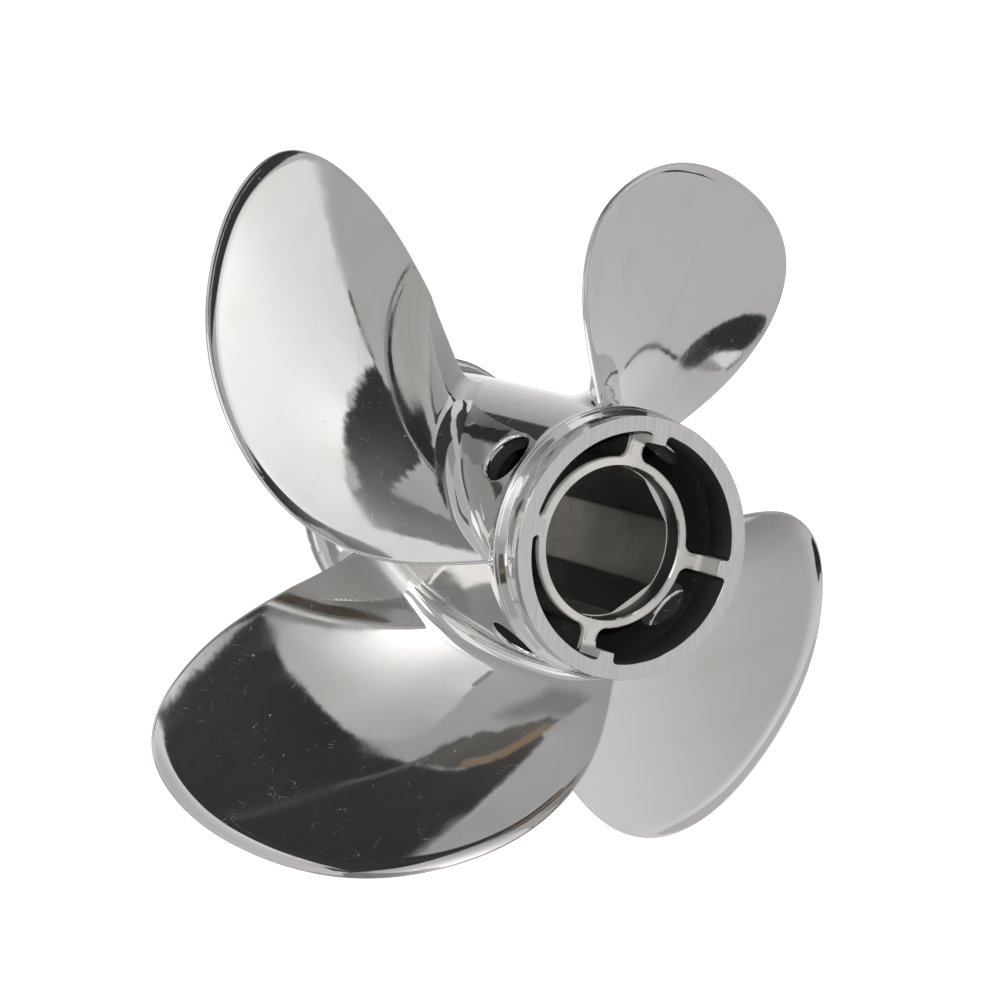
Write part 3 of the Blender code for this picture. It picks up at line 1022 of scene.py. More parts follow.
@dataclass
class Effects:
    """Shader node groups that the finishes share. Positions are in metres."""

    made: dict[str, bpy.types.NodeTree] = field(default_factory=dict)

    def group(self, name: str, inputs: dict, outputs: tuple) -> tuple:
        """Start a node group.

        Args:
            name: Name of the group.
            inputs: Default value of each input after the position.
            outputs: Names of the outputs.

        Returns:
            The desk of the group, its position, its other input sockets by name and its output node.
        """
        self.made[name] = tree = bpy.data.node_groups.new(name, "ShaderNodeTree")
        new_socket = tree.interface.new_socket
        new_socket("Position", in_out="INPUT", socket_type="NodeSocketVector")
        for key, value in inputs.items():
            new_socket(key, in_out="INPUT", socket_type="NodeSocketFloat").default_value = value
        for key in outputs:
            new_socket(key, in_out="OUTPUT", socket_type="NodeSocketFloat")
        given = tree.nodes.new("NodeGroupInput").outputs
        return NodeDesk(tree), given["Position"], given, tree.nodes.new("NodeGroupOutput")

    def waviness(self) -> None:
        """Slow hand-polishing waves and fine orange peel, as a height in metres."""
        desk, place, given, out = self.group("polishing_waves", {"Slow": 1.0, "Fast": 1.0}, ("Height",))
        layers = ((45.0, 1.0, 3.2e-5), (210.0, 2.0, 5e-6), (1300.0, 2.0, 4e-7))
        slow, mid, fast = (desk.times(desk.noise(place, *grain), rise) for *grain, rise in layers)
        slow = desk.times(desk.plus(slow, mid), given["Slow"])
        desk.fill(out, {"Height": desk.plus(slow, desk.times(fast, given["Fast"]))})

    def ticks(self) -> None:
        """Short curved scratches and small dents, as a mask."""
        desk, place, given, out = self.group("scratch_ticks", {"Amount": 1.0}, ("Mask",))
        layers = (
            ((0.3, 0.2, 0.5), (90.0, 260.0, 90.0), 0.00714, 0.0),
            ((0.1, 0.5, 2.0), (120.0, 420.0, 120.0), 0.0068, 7.0),
            ((0.7, 0.1, 1.3), (40.0, 160.0, 60.0), 0.00374, 13.0),
        )
        masks = []
        for turn, stretch, width, shift in layers:
            moved = desk.add("VectorMath", {0: place, 1: (shift, shift, 0.0)}, operation="ADD").outputs[0]
            near = desk.math("ABSOLUTE", desk.minus(desk.grained(moved, turn, stretch, 0.5), 0.5))
            thin = desk.minus(1.0, desk.step(near, 0.0, width))
            masks.append(desk.times(thin, desk.step(desk.noise(moved, 130.0, 1.0), 0.61, 0.68)))
        both = desk.math("MAXIMUM", masks[0], masks[1])
        desk.fill(out, {"Mask": desk.times(desk.math("MAXIMUM", both, masks[2]), given["Amount"])})

    def specks(self) -> None:
        """Sparse round specks, as a mask."""
        inputs = {"Scale": 260.0, "Share": 0.06, "Size": 0.16}
        desk, place, given, out = self.group("dust_specks", inputs, ("Mask",))
        cell = desk.add("TexVoronoi", {"Vector": place, "Scale": given["Scale"]}).outputs
        split = desk.add("SeparateColor", {0: cell["Color"]}).outputs
        size = desk.times(given["Size"], desk.plus(0.4, split[1]))
        dot = desk.minus(1.0, desk.step(cell["Distance"], desk.times(size, 0.5), size))
        desk.fill(out, {"Mask": desk.times(dot, desk.math("LESS_THAN", split[0], given["Share"]))})

    def brushing(self) -> None:
        """Fine straight lines of a belt or a lathe tool, as a mask and as a height in metres."""
        desk, place, given, out = self.group("brushed_lines", {"Turn": -0.2}, ("Mask", "Height"))
        angle = desk.add("CombineXYZ", {2: given["Turn"]}).outputs[0]
        along = desk.mapped(place, Rotation=angle)
        coarse = desk.times(desk.noise(desk.mapped(along, Scale=(60.0, 1100.0, 30.0)), 1.0, 2.0), 0.6)
        fine = desk.times(desk.noise(desk.mapped(along, Scale=(120.0, 3200.0, 30.0)), 1.0, 1.0), 0.4)
        both = desk.plus(coarse, fine)
        desk.fill(out, {"Mask": desk.step(both, 0.36, 0.64), "Height": desk.times(both, 6e-6)})

    def casting(self) -> None:
        """Skin of a casting: grain, pits that gather in patches, and stains."""
        desk, place, given, out = self.group("cast_skin", {"Pits": 0.5}, ("Height", "Pits", "Stain"))
        patch = desk.step(desk.noise(place, 55.0, 2.0), 0.56, 0.7)
        far = desk.mapped(place, Location=(-0.3, -6.4, -7.5), Scale=(160.0, 200.0, 55.0))
        away = desk.add("VectorMath", {0: far}, operation="LENGTH").outputs[1]
        patch = desk.math("MAXIMUM", patch, desk.step(away, 1.0, 0.35))
        hole = desk.step(desk.noise(place, 900.0, 3.0), 0.56, 0.65)
        pits = desk.times(desk.times(hole, patch), given["Pits"])
        grain, lumps = desk.noise(place, 1500.0, 3.0), desk.noise(place, 260.0, 2.0)
        height = desk.plus(desk.times(grain, 4e-5), desk.times(lumps, 1.1e-4))
        height = desk.minus(height, desk.times(pits, 1.6e-4))
        stain = desk.step(desk.noise(place, 38.0, 4.0), 0.3, 0.7)
        desk.fill(out, {"Height": height, "Pits": pits, "Stain": stain})

    def smears(self) -> None:
        """Polishing haze in long soft patches, and warm smears, as masks."""
        desk, place, given, out = self.group("polishing_haze", {"Scale": 1.0}, ("Haze", "Warm"))
        scaled = desk.add("VectorMath", {0: place, 3: given["Scale"]}, operation="SCALE").outputs[0]
        layers = (
            (((0.4, 0.3, 0.9), (22.0, 70.0, 34.0), 3.0), (0.42, 0.72)),
            (((0.2, 0.9, 0.1), (60.0, 900.0, 300.0), 2.0), (0.5, 0.7)),
            (((0.8, 0.1, 0.4), (30.0, 60.0, 20.0), 3.0), (0.5, 0.75)),
        )
        haze, fine, warm = (desk.step(desk.grained(scaled, *grain), *ends) for grain, ends in layers)
        desk.fill(out, {"Haze": desk.plus(desk.times(haze, 0.75), desk.times(fine, 0.25)), "Warm": warm})

    def build(self) -> dict:
        """Make all the groups and return them by name.

        Returns:
            The node groups by name.
        """
        for make in (self.waviness, self.ticks, self.specks, self.brushing, self.casting, self.smears):
            make()
        return self.made


@dataclass(frozen=True)
class SteelFinish:
    """A bare stainless-steel finish.

    Attributes:
        name: Material name.
        color: Base colour, linear.
        roughness: Roughness of clean metal.
        metallic: Share of bare metal, less where the skin is dull.
        waves: Strength of the polishing waves and of the fine orange peel.
        ticks: Strength of the scratches and specks.
        brushed: Strength of the straight lines.
        haze: Strength of the polishing haze and of the warm smears in it.
        cast: Strength of the casting skin.
        pits: Share of casting pits.
        specks: Brightness of the loose grains on a skin darkened by painted shade.
    """

    name: str
    color: tuple
    roughness: float
    metallic: float = 1.0
    waves: float = 0.0
    ticks: float = 0.0
    brushed: float = 0.0
    haze: float = 0.0
    cast: float = 0.0
    pits: float = 0.0
    specks: float = 0.0

    def darker(self, share: float) -> tuple:
        """Base colour times a share, with its alpha."""
        return (*(share * c for c in self.color), 1)

    def material(self, effects: dict) -> bpy.types.Material:
        """Make the material.

        Args:
            effects: The shared node groups by name.

        Returns:
            The material.
        """
        made = bpy.data.materials.new(self.name)
        made.use_nodes = True
        desk = NodeDesk(made.node_tree)

        def effect(name: str, **values: float) -> bpy.types.NodeOutputs:
            """Outputs of one of the shared node groups, placed at the object position."""
            place = desk.add("TexCoord", {}).outputs["Object"]
            return desk.add("Group", {"Position": place, **values}, node_tree=effects[name]).outputs

        color, rough, heights = self.darker(1), self.roughness, []
        if self.waves:
            heights.append(effect("polishing_waves", Slow=self.waves, Fast=self.waves)["Height"])
        if self.brushed:
            lines = effect("brushed_lines")
            color = desk.mixed(lines["Mask"], self.darker(0.87), color)
            heights.append(desk.times(lines["Height"], self.brushed))
        if self.cast:
            skin = effect("cast_skin", Pits=self.pits)
            color = desk.mixed(skin["Stain"], self.darker(0.72), color)
            color = desk.mixed(skin["Pits"], color, (0.012, 0.011, 0.01, 1))
            heights.append(desk.times(skin["Height"], self.cast))
        if self.ticks:
            scratch = effect("scratch_ticks", Amount=self.ticks)["Mask"]
            worn = desk.math("MAXIMUM", scratch, desk.times(effect("dust_specks")["Mask"], self.ticks))
            rough = desk.plus(rough, desk.times(worn, 0.3))
        if self.haze:
            smears = effect("polishing_haze")
            rough = desk.plus(rough, desk.times(smears["Haze"], 0.075 * self.haze))
            color = desk.mixed(desk.times(smears["Warm"], 0.5 * self.haze), color, (0.585, 0.556, 0.525, 1))
        if self.specks:
            speck = effect("dust_specks", Scale=900.0, Share=0.03, Size=0.3)["Mask"]
            color = desk.mixed(desk.times(speck, self.specks), color, (0.6, 0.58, 0.54, 1))
        values = {"Metallic": self.metallic, "Base Color": color, "Roughness": rough}
        if heights:
            bump = desk.add("Bump", {"Strength": 1.0, "Distance": 1.0, "Height": reduce(desk.plus, heights)})
            values["Normal"] = bump.outputs[0]
        desk.fill(made.node_tree.nodes["Principled BSDF"], values)
        return made


FINISHES = (
    SteelFinish("polished_stainless", (0.62, 0.612, 0.6), 0.035, waves=1.0, ticks=1.0, haze=1.0),
    SteelFinish("machined_stainless", (0.74, 0.73, 0.705), 0.34, brushed=0.6, ticks=0.6),
    SteelFinish("cast_stainless", (0.2, 0.19, 0.178), 0.5, cast=1.0, pits=0.6),
    # Near-black cast skin: painted shade for the passage and vent walls, with loose grains on it.
    SteelFinish("painted_shade_cast_stainless", (0.05, 0.048, 0.044), 0.6, metallic=0.7, cast=1.0, specks=0.8),
    SteelFinish("blasted_stainless", (0.5, 0.485, 0.46), 0.5, metallic=0.3, cast=0.7),
    SteelFinish("bored_stainless", (0.33, 0.31, 0.285), 0.42, metallic=0.9, cast=0.35, pits=0.7),
    SteelFinish("belt_polished_stainless", (0.6, 0.59, 0.575), 0.34, ticks=0.5, haze=0.6),
)


# Studio


@dataclass(frozen=True)
class CameraSizes:
    """Camera pose and lens."""

    location: tuple = (-0.03445, -1.05692, 1.79948)
    right: tuple = (-0.2389, 0.8308, 0.5027)
    up: tuple = (-0.9710, -0.1966, -0.1365)
    back: tuple = (-0.0145, -0.5207, 0.8536)
    lens_mm: float = 166.36
    sensor_mm: float = 36.0


@dataclass(frozen=True)
class SpotSizes:
    """Lamp that shines into the bore."""

    location: tuple = (-0.25, -0.95, 1.95)
    target: tuple = (0.0, 0.005, 0.16)
    energy: float = 190.0
    angle: float = 6.5
    blend: float = 0.4
    radius: float = 0.02


@dataclass(frozen=True)
class StudioCard:
    """A glowing or dark card far away, placed in a map of the sky.

    The map has the zenith at (0, 0) and the distance from it is the angle from the zenith in
    degrees, with +X to the right and +Y up.

    Attributes:
        corners: Outline of the card on the map.
        light: Brightness, near 1.6 for white in the steel; one number, or one for each corner.
        soft: Width of the blurred edge in degrees.
        rough: Unevenness of the edge in degrees.
        tint: Colour that the brightness is multiplied by.
    """

    corners: tuple
    light: float | tuple
    soft: float = 1.0
    rough: float = 0.0
    tint: tuple = (1.0, 1.0, 1.0)


def sector(near: float, far: float, first: float, last: float, count: int = 2) -> tuple:
    """Corners of a ring sector on the map.

    Args:
        near: Angle from the zenith of the first edge.
        far: Angle from the zenith of the other edge.
        first: Direction of the first end.
        last: Direction of the last end.
        count: Number of corners on each edge.

    Returns:
        Corners along the first edge and back along the other one.
    """
    turns = np.linspace(first, last, count)
    return tuple(np.round(np.concatenate([polar_point(near, turns), polar_point(far, turns[::-1])]), 1))


CARDS = tuple(StudioCard(*row) for row in (
    # Right wall, brighter below
    (((29.3, 8.8), (29.3, 61.6), (36.7, 104.1), (77.7, 104.1), (74.8, 61.6), (71.9, 8.8)), (0.98,
        0.6, 0.34, 0.34, 0.74, 0.88), 4),
    # Cool wall behind the stand
    (((-4.1, 109.3), (-0.7, 103.4), (7.3, 94.6), (9.5, 88), (14.7, 80.7), (24.2, 88), (36.7, 92.4),
        (35.2, 127.6), (-8.8, 127.6)), (0.8, 0.78, 0.72, 0.66, 0.68, 0.76, 0.78, 0.8, 0.8), 0.8, 0.3,
        (0.99, 1, 1.03)),
    # Stand
    (((7.6, 93.4), (5.7, 89.1), (4.8, 85.6), (4.3, 81.5), (4.2, 78), (4.7, 75.6), (5.3, 74.9),
        (6.5, 75.4), (8, 76.6), (8.9, 77.6), (8.9, 80.9), (8.8, 83.9), (9.6, 85.2), (10.9, 87.9),
        (10.8, 90.5), (10, 92.2)), 0.045, 0.35, 0.06),
    # Cable of the stand
    (((7.2, 92.8), (4, 96.8), (0.3, 100), (-3.6, 105.4), (-5.6, 110.9), (-7, 118.3), (-6, 118.4),
        (-4.4, 110.9), (-2.5, 105.9), (1.2, 100.9), (4.8, 97.7), (8, 93.8)), 0.12, 0.4, 0.22),
    # Lamp seen past the stand
    (((8.9, 84), (8.9, 80.9), (9, 77.8), (9.9, 78), (10.8, 79), (11.5, 80.5), (10.6, 82.2),
        (9.8, 83.6)), 1, 0.3),
    # Panel by the stand
    (((10.9, 87.9), (9.7, 84.6), (10.6, 82.4), (11.6, 80.7), (12, 81.5), (11.8, 84.5)), 0.42, 0.4),
    # Lamp edge
    (((9, 77.3), (10.1, 77.9), (11.9, 80.3), (11.6, 80.7), (9.9, 78.4), (8.9, 77.7)), 0.08, 0.3),
    # Left wall
    (((-101.2, 41.1), (-81.4, 42.5), (-78.9, 27.9), (-74.8, 14.7), (-71.6, 7.3), (-101.2, 6.6)),
        (0.6, 0.6, 0.6, 0.55, 0.45, 0.5), 2),
    # Upper left wall
    (((-73.3, 118.8), (-35.9, 118.8), (-37.8, 80.7), (-34.7, 40.4), (-39.6, 40.7), (-43.5, 42.1),
        (-50.1, 42.9), (-59.4, 42.8), (-66, 42.8), (-68.1, 46.9), (-68.1, 60.1), (-71.6, 71.6)), (0.4, 0.55,
        0.62, 0.58, 0.58, 0.58, 0.6, 0.62, 0.6, 0.55, 0.5, 0.45), 0.8),
    # Left gap
    (((-72.6, 71.6), (-70.4, 68.2), (-67.6, 60.1), (-67.6, 46.9), (-64.8, 43), (-59.3, 42.7),
        (-59.8, 33.7), (-61.5, 27.9), (-62, 19.1), (-63.7, 10.3), (-65.1, 6.6), (-71.6, 7), (-74.8, 16.1),
        (-78.6, 27.9), (-80.2, 39.6), (-79.9, 45.5), (-76.6, 55.7)), (0.07, 0.05, 0.05, 0.045, 0.05, 0.05,
        0.05, 0.06, 0.09, 0.16, 0.22, 0.22, 0.15, 0.1, 0.08, 0.06, 0.05), 1.2, 0.7),
    # Left table
    (((-101.2, 8.5), (-72.6, 8.2), (-64.8, 8.2), (-62.8, 2.6), (-64.2, -6.2), (-73.3, -7),
        (-101.2, -10)), (0.3, 0.22, 0.2, 0.3, 0.45, 0.33, 0.3), 1.5, 0.6),
    # Side softbox
    (((-59.4, 42), (-50.1, 42), (-43.5, 41.4), (-39.6, 40), (-34.7, 39.7), (-32.3, 22),
        (-38.1, 7.3), (-46.9, -8.1), (-63.1, -14.7), (-88, -16.1), (-89.5, -10.6), (-73.3, -7.3),
        (-63.9, -6.2), (-62.2, 2.9), (-61.6, 19.1), (-59.4, 30.8)), (1, 1.05, 1.08, 1.1, 1.1, 1.85, 1.45,
        1.08, 1.05, 1.05, 1.05, 1.02, 1.08, 1.25, 1.45, 1.2), 0.8, 0.35),
    # Softbox seam
    (((-59.4, 43.1), (-49.6, 42.9), (-49.6, 42.1), (-59.4, 42.1)), 0.16, 0.35, 0.1),
    # Front floor
    (((7.3, -27.9), (70.4, -30.8), (80.7, -66), (44, -85.1), (10.3, -80.7)), (0.5, 0.5, 0.45, 0.5,
        0.6), 3),
    # Front left wall
    (((-46.9, -17.9), (-23.5, -17.9), (-23.2, -49.9), (-27.9, -63.1), (-51.3, -63.1),
        (-51.3, -36.7)), (0.25, 0.28, 0.6, 0.62, 0.5, 0.35)),
    # Front softbox
    (((-23.6, -22), (-16.1, -24.3), (-8.8, -26.4), (7.3, -29), (15, -36.7), (14.4, -45.5),
        (13.5, -55), (14.7, -80.7), (-4.4, -80.7), (-23.6, -80.7), (-23.6, -63.1), (-23.6, -51.3),
        (-23.6, -44), (-23.6, -36.7), (-23.6, -29.3)), (0.56, 0.616, 0.672, 0.616, 0.56, 0.694, 0.952, 1.46,
        2.02, 2.13, 2.02, 1.96, 1.68, 1.23, 0.784), 1.4, 0.2),
    # Front dark wedge
    (((33.7, -52.5), (30, -51), (26.5, -47), (33, -46), (41.1, -46.9), (49.1, -43.3),
        (57.9, -41.5), (60.9, -44), (51.3, -53.1), (41.1, -57.5)), 0.3, 6),
    # Pale wall past the rim
    (((-45.5, -14.7), (-24, -20.2), (-19.5, -18.7), (-16.9, -17.7), (-12.6, -16.3), (-7, -13.8),
        (-4.4, -10.6), (-3.1, -6.7), (-7.3, 2.9), (-33.7, 7.3)), (0.8, 0.9, 0.6, 0.6, 0.75, 1.1, 1, 0.9, 0.7,
        0.7), 0.6, 0.15),
    # Room behind the camera
    (((-24, -20.9), (-20.5, -22.8), (-14.7, -24.5), (-7.3, -27.4), (1.5, -29.2), (11.7, -29.5),
        (17.3, -30.5), (26.4, -32), (35.2, -36.7), (41.7, -41.4), (43.4, -37.8), (36.7, -30.1),
        (30.8, -22.7), (24.5, -15.8), (16.1, -5.9), (1.5, -2.9), (-3.1, -6.7), (-4.4, -10.6), (-7, -13.8),
        (-12.6, -16.3), (-16.9, -17.7), (-19.5, -18.7)), (0.06, 0.06, 0.05, 0.045, 0.042, 0.045, 0.055,
        0.065, 0.08, 0.15, 0.1, 0.07, 0.05, 0.045, 0.045, 0.045, 0.05, 0.055, 0.06, 0.06, 0.06, 0.06), 0.9,
        0.2),
    # Dark corner past the rim
    (((-16.7, -16.3), (-18.6, -17.6), (-21.5, -19.5), (-25.5, -21.3), (-27, -16.5), (-20, -14.8)),
        0.07, 0.6, 0.1),
    # Camera operator
    (((17.9, -30.8), (26.4, -32), (35.2, -36.7), (41.9, -41.4), (47.2, -43.4), (42.5, -45.8),
        (33.7, -44.3), (24.9, -41.1), (19.4, -36.7)), (0.122, 0.122, 0.136, 0.17, 0.204, 0.177, 0.15, 0.163,
        0.177), 1.2, 0.3, (1.04, 1, 0.93)),
    # Warm lamp
    (((25.5, -32.5), (31, -33.7), (37.3, -37.2), (41.5, -39.8), (45.8, -42.5), (42, -43.4),
        (36.6, -39.9), (31, -36), (26, -34.5)), 0.24, 0.9, 0.15, (1.32, 1, 0.68)),
    # Right front wall
    (((24.5, -15.8), (30.8, -22.7), (36.7, -30.1), (43.4, -37.8), (47.8, -43.3), (66, -49.9),
        (73.3, -29.3), (52.8, -14.7)), (0.48, 0.5, 0.53, 0.56, 0.5, 0.46, 0.5, 0.5), 2.4, 0.2),
    # Ceiling tube
    (((6.2, -12), (6.7, -12), (12.2, -22.6), (17.6, -30.4), (23.8, -39.6), (23, -40.2),
        (17, -30.9), (11.7, -22.9)), 0.14, 0.35),
    # Tripod leg
    (((12.5, -53.7), (14.2, -53.7), (15.5, -61), (13.3, -61)), 0.35, 0.6),
    # Low edge of the front softbox
    (sector(65, 76, -98, -76), 2, 2),
    # Floor edge
    (sector(76.4, 81, -87, -68), (0.45, 0.5, 0.32, 0.45), 0.8),
    # Dark card: painted shade for the view out through the vents
    (((64.5, 46.9), (66.6, 61.6), (71.9, 67.5), (77.4, 60.1), (78.9, 45.5), (74.1, 33),
        (67.5, 33.7)), 0.035, 0.9, 0.2),
    # Dark beam above
    (((-38.6, 42.4), (-41.5, 55), (-44.5, 68), (-40, 74), (-14, 66), (-15, 50), (-27, 43)), 0.055,
        0.5),
    # Low wall, left
    (((-64, 82), (-90.1, 52), (-101.5, 36.9), (-114.2, 20.1), (-140.8, 24.8), (-123.8, 71.5),
        (-88, 112.7)), 0.86, 3),
    # Low wall, left, lower
    (sector(134, 144, 164, 181), 0.93, 2),
    # Low gap, far left
    (((-39.3, 108.1), (-73.9, 88.1), (-98.6, 59.2), (-93.4, 56.1), (-70.1, 83.5), (-37.3, 102.4)),
        0.06, 1.5),
    # Low gap, left
    (sector(118, 133.5, 168, 200, 3), 0.07, 2.5),
    # Left wall strip
    (sector(99, 110, -176, -157), 0.42, 3),
    # Left wall strip, dark
    (((-81.8, 39.9), (-90.1, 52), (-94.8, 54.7), (-106.7, 28.6), (-108.9, -11.4), (-91.9, -4.8)),
        0.055, 1.2, 0.2),
    # Low gap, left corner
    (((-114.2, 50.8), (-118.7, 47.9), (-126.5, 33.9), (-131.4, 20.8), (-135.9, 4.7),
        (-132.7, -18.6), (-124.8, -17.5), (-124.1, 21.9)), 0.06, 1.2, 0.2),
    # Shelf, dark
    (sector(94.4, 99, -155, -132), 0.14, 1.5),
    # Shelf, pale
    (sector(99, 112, -156, -98, 4), 0.62, 2),
    # Shelf, upper
    (sector(86, 96, -131, -97, 3), 0.79, 2),
    # Low softbox
    (sector(104, 118, -122, -105), 1.5, 3),
    # Low softbox, front
    (sector(93, 112, -96, -63, 3), 2.1, 2),
    # Low step
    (sector(88, 108, -62, -49), 0.58, 2),
    # Low lamp, front
    (sector(107.5, 116, -64, -56), 2.3, 1.5),
    # Low panel
    (sector(90, 110, -48, -32), 1.2, 2),
    # Low panel, right
    (sector(98, 118, -30, -14), 0.95, 2),
    # Low panel, far right
    (sector(98, 118, -14, 8), 1.4, 2),
    # Table leg
    (sector(134, 147.2, -60, -10, 4), (0.5, 0.45, 0.36, 0.4, 0.4, 0.36, 0.45, 0.5)),
    # Underside, front
    (((-20.7, -147.1), (25.8, -146.2), (60.4, -135.7), (73.2, -137.7), (27.8, -157.6),
        (-22.3, -158.4)), 0.1, 2),
    # Underside, right
    (sector(152, 160, -65, -35, 3), 0.32, 2),
    # Table edge
    (((5, 143.9), (-25, 141.8), (-56.3, 132.6), (-92.6, 110.3), (-110.3, 92.6), (-123.4, 74.2),
        (-135.3, 49.3), (-141.8, 25), (-144, 0), (-178, 0), (-175.3, 30.9), (-167.3, 60.9), (-152.6, 91.7),
        (-136.4, 114.4), (-114.4, 136.4), (-69.6, 163.8), (-30.9, 175.3), (6.2, 177.9)), (1.1, 1.05, 0.98,
        0.82, 0.74, 0.66, 0.58, 0.5, 0.42, 0.42, 0.5, 0.58, 0.66, 0.74, 0.82, 0.98, 1.05, 1.1), 3),
    # Gap under the table
    (sector(143, 178, 178, 206), 0.06, 4),
    # Gap, upper part
    (sector(134, 146, 178, 196), 0.07, 2),
    # Floor, front left
    (((-130.5, -66.5), (-106.3, -100.8), (-73.3, -126.9), (-76, -131.6), (-110.3, -104.6),
        (-135.4, -69)), 0.21, 2),
    # Floor, front
    (sector(147, 152, -122, -56, 5), 0.32, 3),
    # Floor softbox, right
    (sector(147, 152, -58, -38), 0.95, 3),
    # Floor softbox, bright right
    (sector(147, 152, -39, -15), 1.5, 2),
    # Floor, right
    (sector(143, 178, -16, 12), 0.6, 3),
    # Floor, far right
    (sector(122, 178, 10, 40, 3), 0.33, 3),
    # Floor, behind right
    (sector(122, 178, 38, 88, 4), 0.45, 3),
))


@dataclass
class CardRig:
    """Cards hung on a sphere round the object, which only reflections see.

    Attributes:
        cards: The cards, later ones nearer.
        reach: Radius of the sphere of the first card.
        gap: Step from one card to the next.
        cell: Size of the cells of a card in degrees.
        edge_cell: Length of the cells along its outline in degrees.
        margin: Clear band between outline and cells in degrees.
    """

    cards: tuple
    reach: float = 12.0
    gap: float = 0.05
    cell: float = 3.0
    edge_cell: float = 0.6
    margin: float = 0.4

    def outline(self, card: StudioCard, number: int) -> Array:
        """Dense outline of a card with its unevenness.

        Args:
            card: The card.
            number: Its place in the list, which seeds its unevenness.

        Returns:
            Rows of points on the map.
        """
        corners = np.array(card.corners, float)
        points = []
        for a, b in zip(corners, np.roll(corners, -1, axis=0)):
            cells = max(1, round(float(np.linalg.norm(b - a)) / self.edge_cell))
            points.append(a + (b - a) * np.linspace(0, 1, cells, endpoint=False)[:, None])
        line = np.concatenate(points)
        for _ in range(2):
            line = 0.5 * line + 0.25 * (np.roll(line, 1, axis=0) + np.roll(line, -1, axis=0))
        slow = noise = np.random.default_rng(number).normal(size=len(line))
        for _ in range(3):
            slow = (slow + np.roll(slow, 1) + np.roll(slow, -1)) / 3
        return line + outward(line) * (card.rough * (1.1 * slow + 0.35 * noise))[:, None]

    def depth(self, points: Array, line: Array) -> Array:
        """Distance of points from an outline, positive inside it.

        Args:
            points: Rows of points on the map.
            line: Outline on the map.

        Returns:
            One distance for each point.
        """
        a, b = line, np.roll(line, -1, axis=0)
        side = b - a
        share = ((points[:, None] - a) * side).sum(-1) / np.maximum((side ** 2).sum(-1), 1e-12)
        near = a + side * np.clip(share, 0, 1)[..., None]
        gap = np.linalg.norm(points[:, None] - near, axis=-1).min(axis=1)
        x, y = points[:, :1], points[:, 1:]
        rise = np.where(b[:, 1] == a[:, 1], 1e-12, b[:, 1] - a[:, 1])
        crosses = ((a[:, 1] > y) != (b[:, 1] > y)) & (x < a[:, 0] + (y - a[:, 1]) * side[:, 0] / rise)
        return np.where(crosses.sum(axis=1) % 2, gap, -gap)

    def tones(self, card: StudioCard, points: Array) -> Array:
        """Brightness at points of a card, blended from its corners.

        Args:
            card: The card.
            points: Rows of points on the map.

        Returns:
            One brightness for each point.
        """
        corners = np.array(card.corners, float)
        weight = 1 / (np.linalg.norm(points[:, None] - corners, axis=-1) ** 3 + 8)
        return (weight * np.broadcast_to(card.light, len(corners))).sum(axis=1) / weight.sum(axis=1)

    def patch(self, card: StudioCard, number: int) -> tuple[Array, list, Array, Array]:
        """Positions, faces, colours and cover of one card.

        Args:
            card: The card.
            number: Its place in the list.

        Returns:
            Positions, faces, colours and cover of its vertices.
        """
        line = self.outline(card, number)
        push = outward(line) * card.soft / 2
        ticks = (np.arange(side.min(), side.max(), self.cell) + self.cell / 2 for side in line.T)
        grid = np.stack(np.meshgrid(*ticks), -1).reshape(-1, 2)
        grid = grid[self.depth(grid, line) > card.soft / 2 + self.margin]
        count = len(line)
        edges = [(k * count + i, k * count + (i + 1) % count) for k in (0, 1) for i in range(count)]
        flat = [Vector(p) for p in np.concatenate([line + push, line, line - push, grid])]
        flat, _, faces, *_ = delaunay_2d_cdt(flat, edges, [list(range(count))], 1, 1e-5)
        flat = np.array([tuple(p) for p in flat])
        cover = np.clip(0.5 + self.depth(flat, line) / card.soft, 0, 1)
        tilt, turn = np.radians(np.hypot(*flat.T)), np.arctan2(flat[:, 1], flat[:, 0])
        ball = np.c_[np.sin(tilt) * np.cos(turn), np.sin(tilt) * np.sin(turn), np.cos(tilt)]
        color = np.c_[self.tones(card, flat)[:, None] * np.array(card.tint), np.ones(len(flat))]
        return ball * (self.reach - self.gap * number), faces, color, cover

    def material(self) -> bpy.types.Material:
        """Glow of the cards, see-through where a card has ended.

        Returns:
            The material of all the cards.
        """
        made = bpy.data.materials.new("card_glow")
        desk = cleared_desk(made)
        made.cycles.emission_sampling = "NONE"
        tone = desk.add("Attribute", {}, attribute_name="tone").outputs["Color"]
        cover = desk.add("Attribute", {}, attribute_name="cover").outputs["Fac"]
        glow = desk.add("Emission", {0: tone, 1: 1.0}).outputs[0]
        clear = desk.add("BsdfTransparent", {}).outputs[0]
        mix = desk.add("MixShader", {0: desk.step(cover, 0.0, 1.0), 1: clear, 2: glow}).outputs[0]
        desk.add("OutputMaterial", {0: mix})
        return made

    def build(self) -> bpy.types.Object:
        """Hang all the cards.

        Returns:
            The mesh of all the cards.
        """
        parts = [self.patch(card, number) for number, card in enumerate(self.cards)]
        balls, webs, colors, covers = zip(*parts)
        faces, start = [], 0
        for ball, web in zip(balls, webs):
            faces += [[start + k for k in face] for face in web]
            start += len(ball)
        mesh = bpy.data.meshes.new("studio_cards")
        mesh.from_pydata(np.concatenate(balls).tolist(), [], faces)
        tone = mesh.attributes.new("tone", "FLOAT_COLOR", "POINT")
        tone.data.foreach_set("color", np.concatenate(colors).ravel())
        cover = mesh.attributes.new("cover", "FLOAT", "POINT")
        cover.data.foreach_set("value", np.concatenate(covers))
        mesh.materials.append(self.material())
        obj = linked("studio_cards", mesh)
        obj.visible_camera = obj.visible_diffuse = obj.visible_shadow = obj.visible_transmission = False
        return obj


def cleared_desk(owner: bpy.types.ID) -> NodeDesk:
    """Desk of a material or world whose nodes are cleared away.

    Args:
        owner: The material or world.

    Returns:
        A desk for its empty node tree.
    """
    owner.use_nodes = True
    owner.node_tree.nodes.clear()
    return NodeDesk(owner.node_tree)


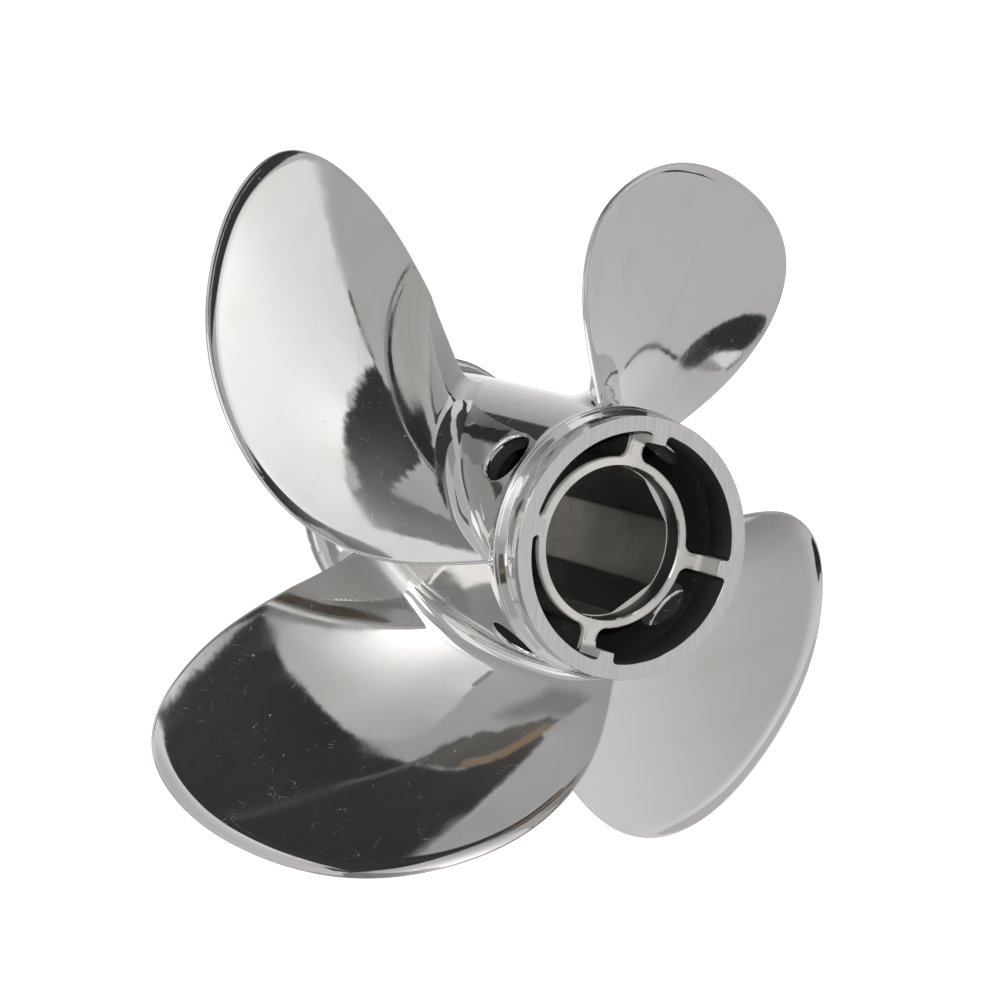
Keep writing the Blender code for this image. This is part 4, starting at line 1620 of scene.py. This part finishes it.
@dataclass
class Studio:
    """Floor, surroundings, bore lamp and camera."""

    camera_sizes: CameraSizes
    spot_sizes: SpotSizes
    floor_reach: float = 6.0

    def camera(self) -> None:
        """Place the camera."""
        c = self.camera_sizes
        data = bpy.data.cameras.new("camera")
        data.lens = c.lens_mm
        data.sensor_width = c.sensor_mm
        obj = linked("camera", data)
        turn = Matrix((c.right, c.up, c.back)).transposed().to_4x4()
        obj.matrix_world = Matrix.Translation(c.location) @ turn
        bpy.context.scene.camera = obj

    def world(self) -> None:
        """Pale surroundings, white where the camera sees them."""
        bpy.context.scene.world = bpy.data.worlds.new("studio")
        desk = cleared_desk(bpy.context.scene.world)
        seen = desk.add("LightPath", {}).outputs["Is Camera Ray"]
        shown = desk.mixed(seen, (0.68, 0.68, 0.69, 1), (1, 1, 1, 1))
        desk.add("OutputWorld", {0: desk.add("Background", {0: shown, 1: 1.0}).outputs[0]})

    def spot(self) -> None:
        """Narrow lamp beside the camera that shines into the bore and shows in no reflection."""
        s = self.spot_sizes
        data = bpy.data.lights.new("bore_spot", "SPOT")
        data.energy = s.energy
        data.spot_size = math.radians(s.angle)
        data.spot_blend = s.blend
        data.shadow_soft_size = s.radius
        obj = linked("bore_spot", data)
        aim = (Vector(s.target) - Vector(s.location)).to_track_quat("-Z", "Y")
        obj.matrix_world = Matrix.Translation(s.location) @ aim.to_matrix().to_4x4()
        obj.visible_glossy = False

    def floor(self) -> None:
        """Large pale floor under the propeller, which reflections don't see."""
        e = self.floor_reach
        mesh = bpy.data.meshes.new("floor")
        mesh.from_pydata([(-e, -e, 0), (e, -e, 0), (e, e, 0), (-e, e, 0)], [], [(0, 1, 2, 3)])
        material = bpy.data.materials.new("floor_paint")
        desk = cleared_desk(material)
        diffuse = desk.add("BsdfDiffuse", {0: (0.55, 0.55, 0.55, 1)}).outputs[0]
        glow = desk.add("Emission", {0: (1, 1, 1, 1), 1: 0.8}).outputs[0]
        paint = desk.add("AddShader", {0: diffuse, 1: glow}).outputs[0]
        mirrored = desk.add("LightPath", {}).outputs["Is Glossy Ray"]
        clear = desk.add("BsdfTransparent", {}).outputs[0]
        mix = desk.add("MixShader", {0: mirrored, 1: paint, 2: clear}).outputs[0]
        desk.add("OutputMaterial", {0: mix})
        mesh.materials.append(material)
        linked("floor", mesh)

    def build(self) -> None:
        """Set up all of it."""
        self.spot()
        self.floor()
        self.world()
        self.camera()
        bpy.context.scene.view_settings.view_transform = "Standard"


def save_size() -> None:
    """Bring the view layer up to date."""
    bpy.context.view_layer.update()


def main() -> None:
    """Build every piece in order and report it."""
    logging.basicConfig(level=logging.INFO, format="%(message)s", force=True)
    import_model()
    save_size()
    hub, blades = HubSizes(), BladeSizes()
    effects = Effects().build()
    finishes = [finish.material(effects) for finish in FINISHES]
    barrel = HubBarrel(hub).build(finishes)
    Vents(VentSizes(), hub, blades).cut_barrel(barrel, finishes)
    pieces = [barrel, InnerHub(InnerHubSizes()).build(finishes)]
    pieces += [Blade(blades, hub, number).build(finishes) for number in range(blades.count)]
    for piece in pieces:
        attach(piece, BODY)
        LOG.info("%s: %d vertices, %d faces", piece.name, len(piece.data.vertices), len(piece.data.polygons))
    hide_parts(CAD_NODE)
    CardRig(CARDS).build()
    Studio(CameraSizes(), SpotSizes()).build()
    save_size()


if __name__ == "__main__":
    main()
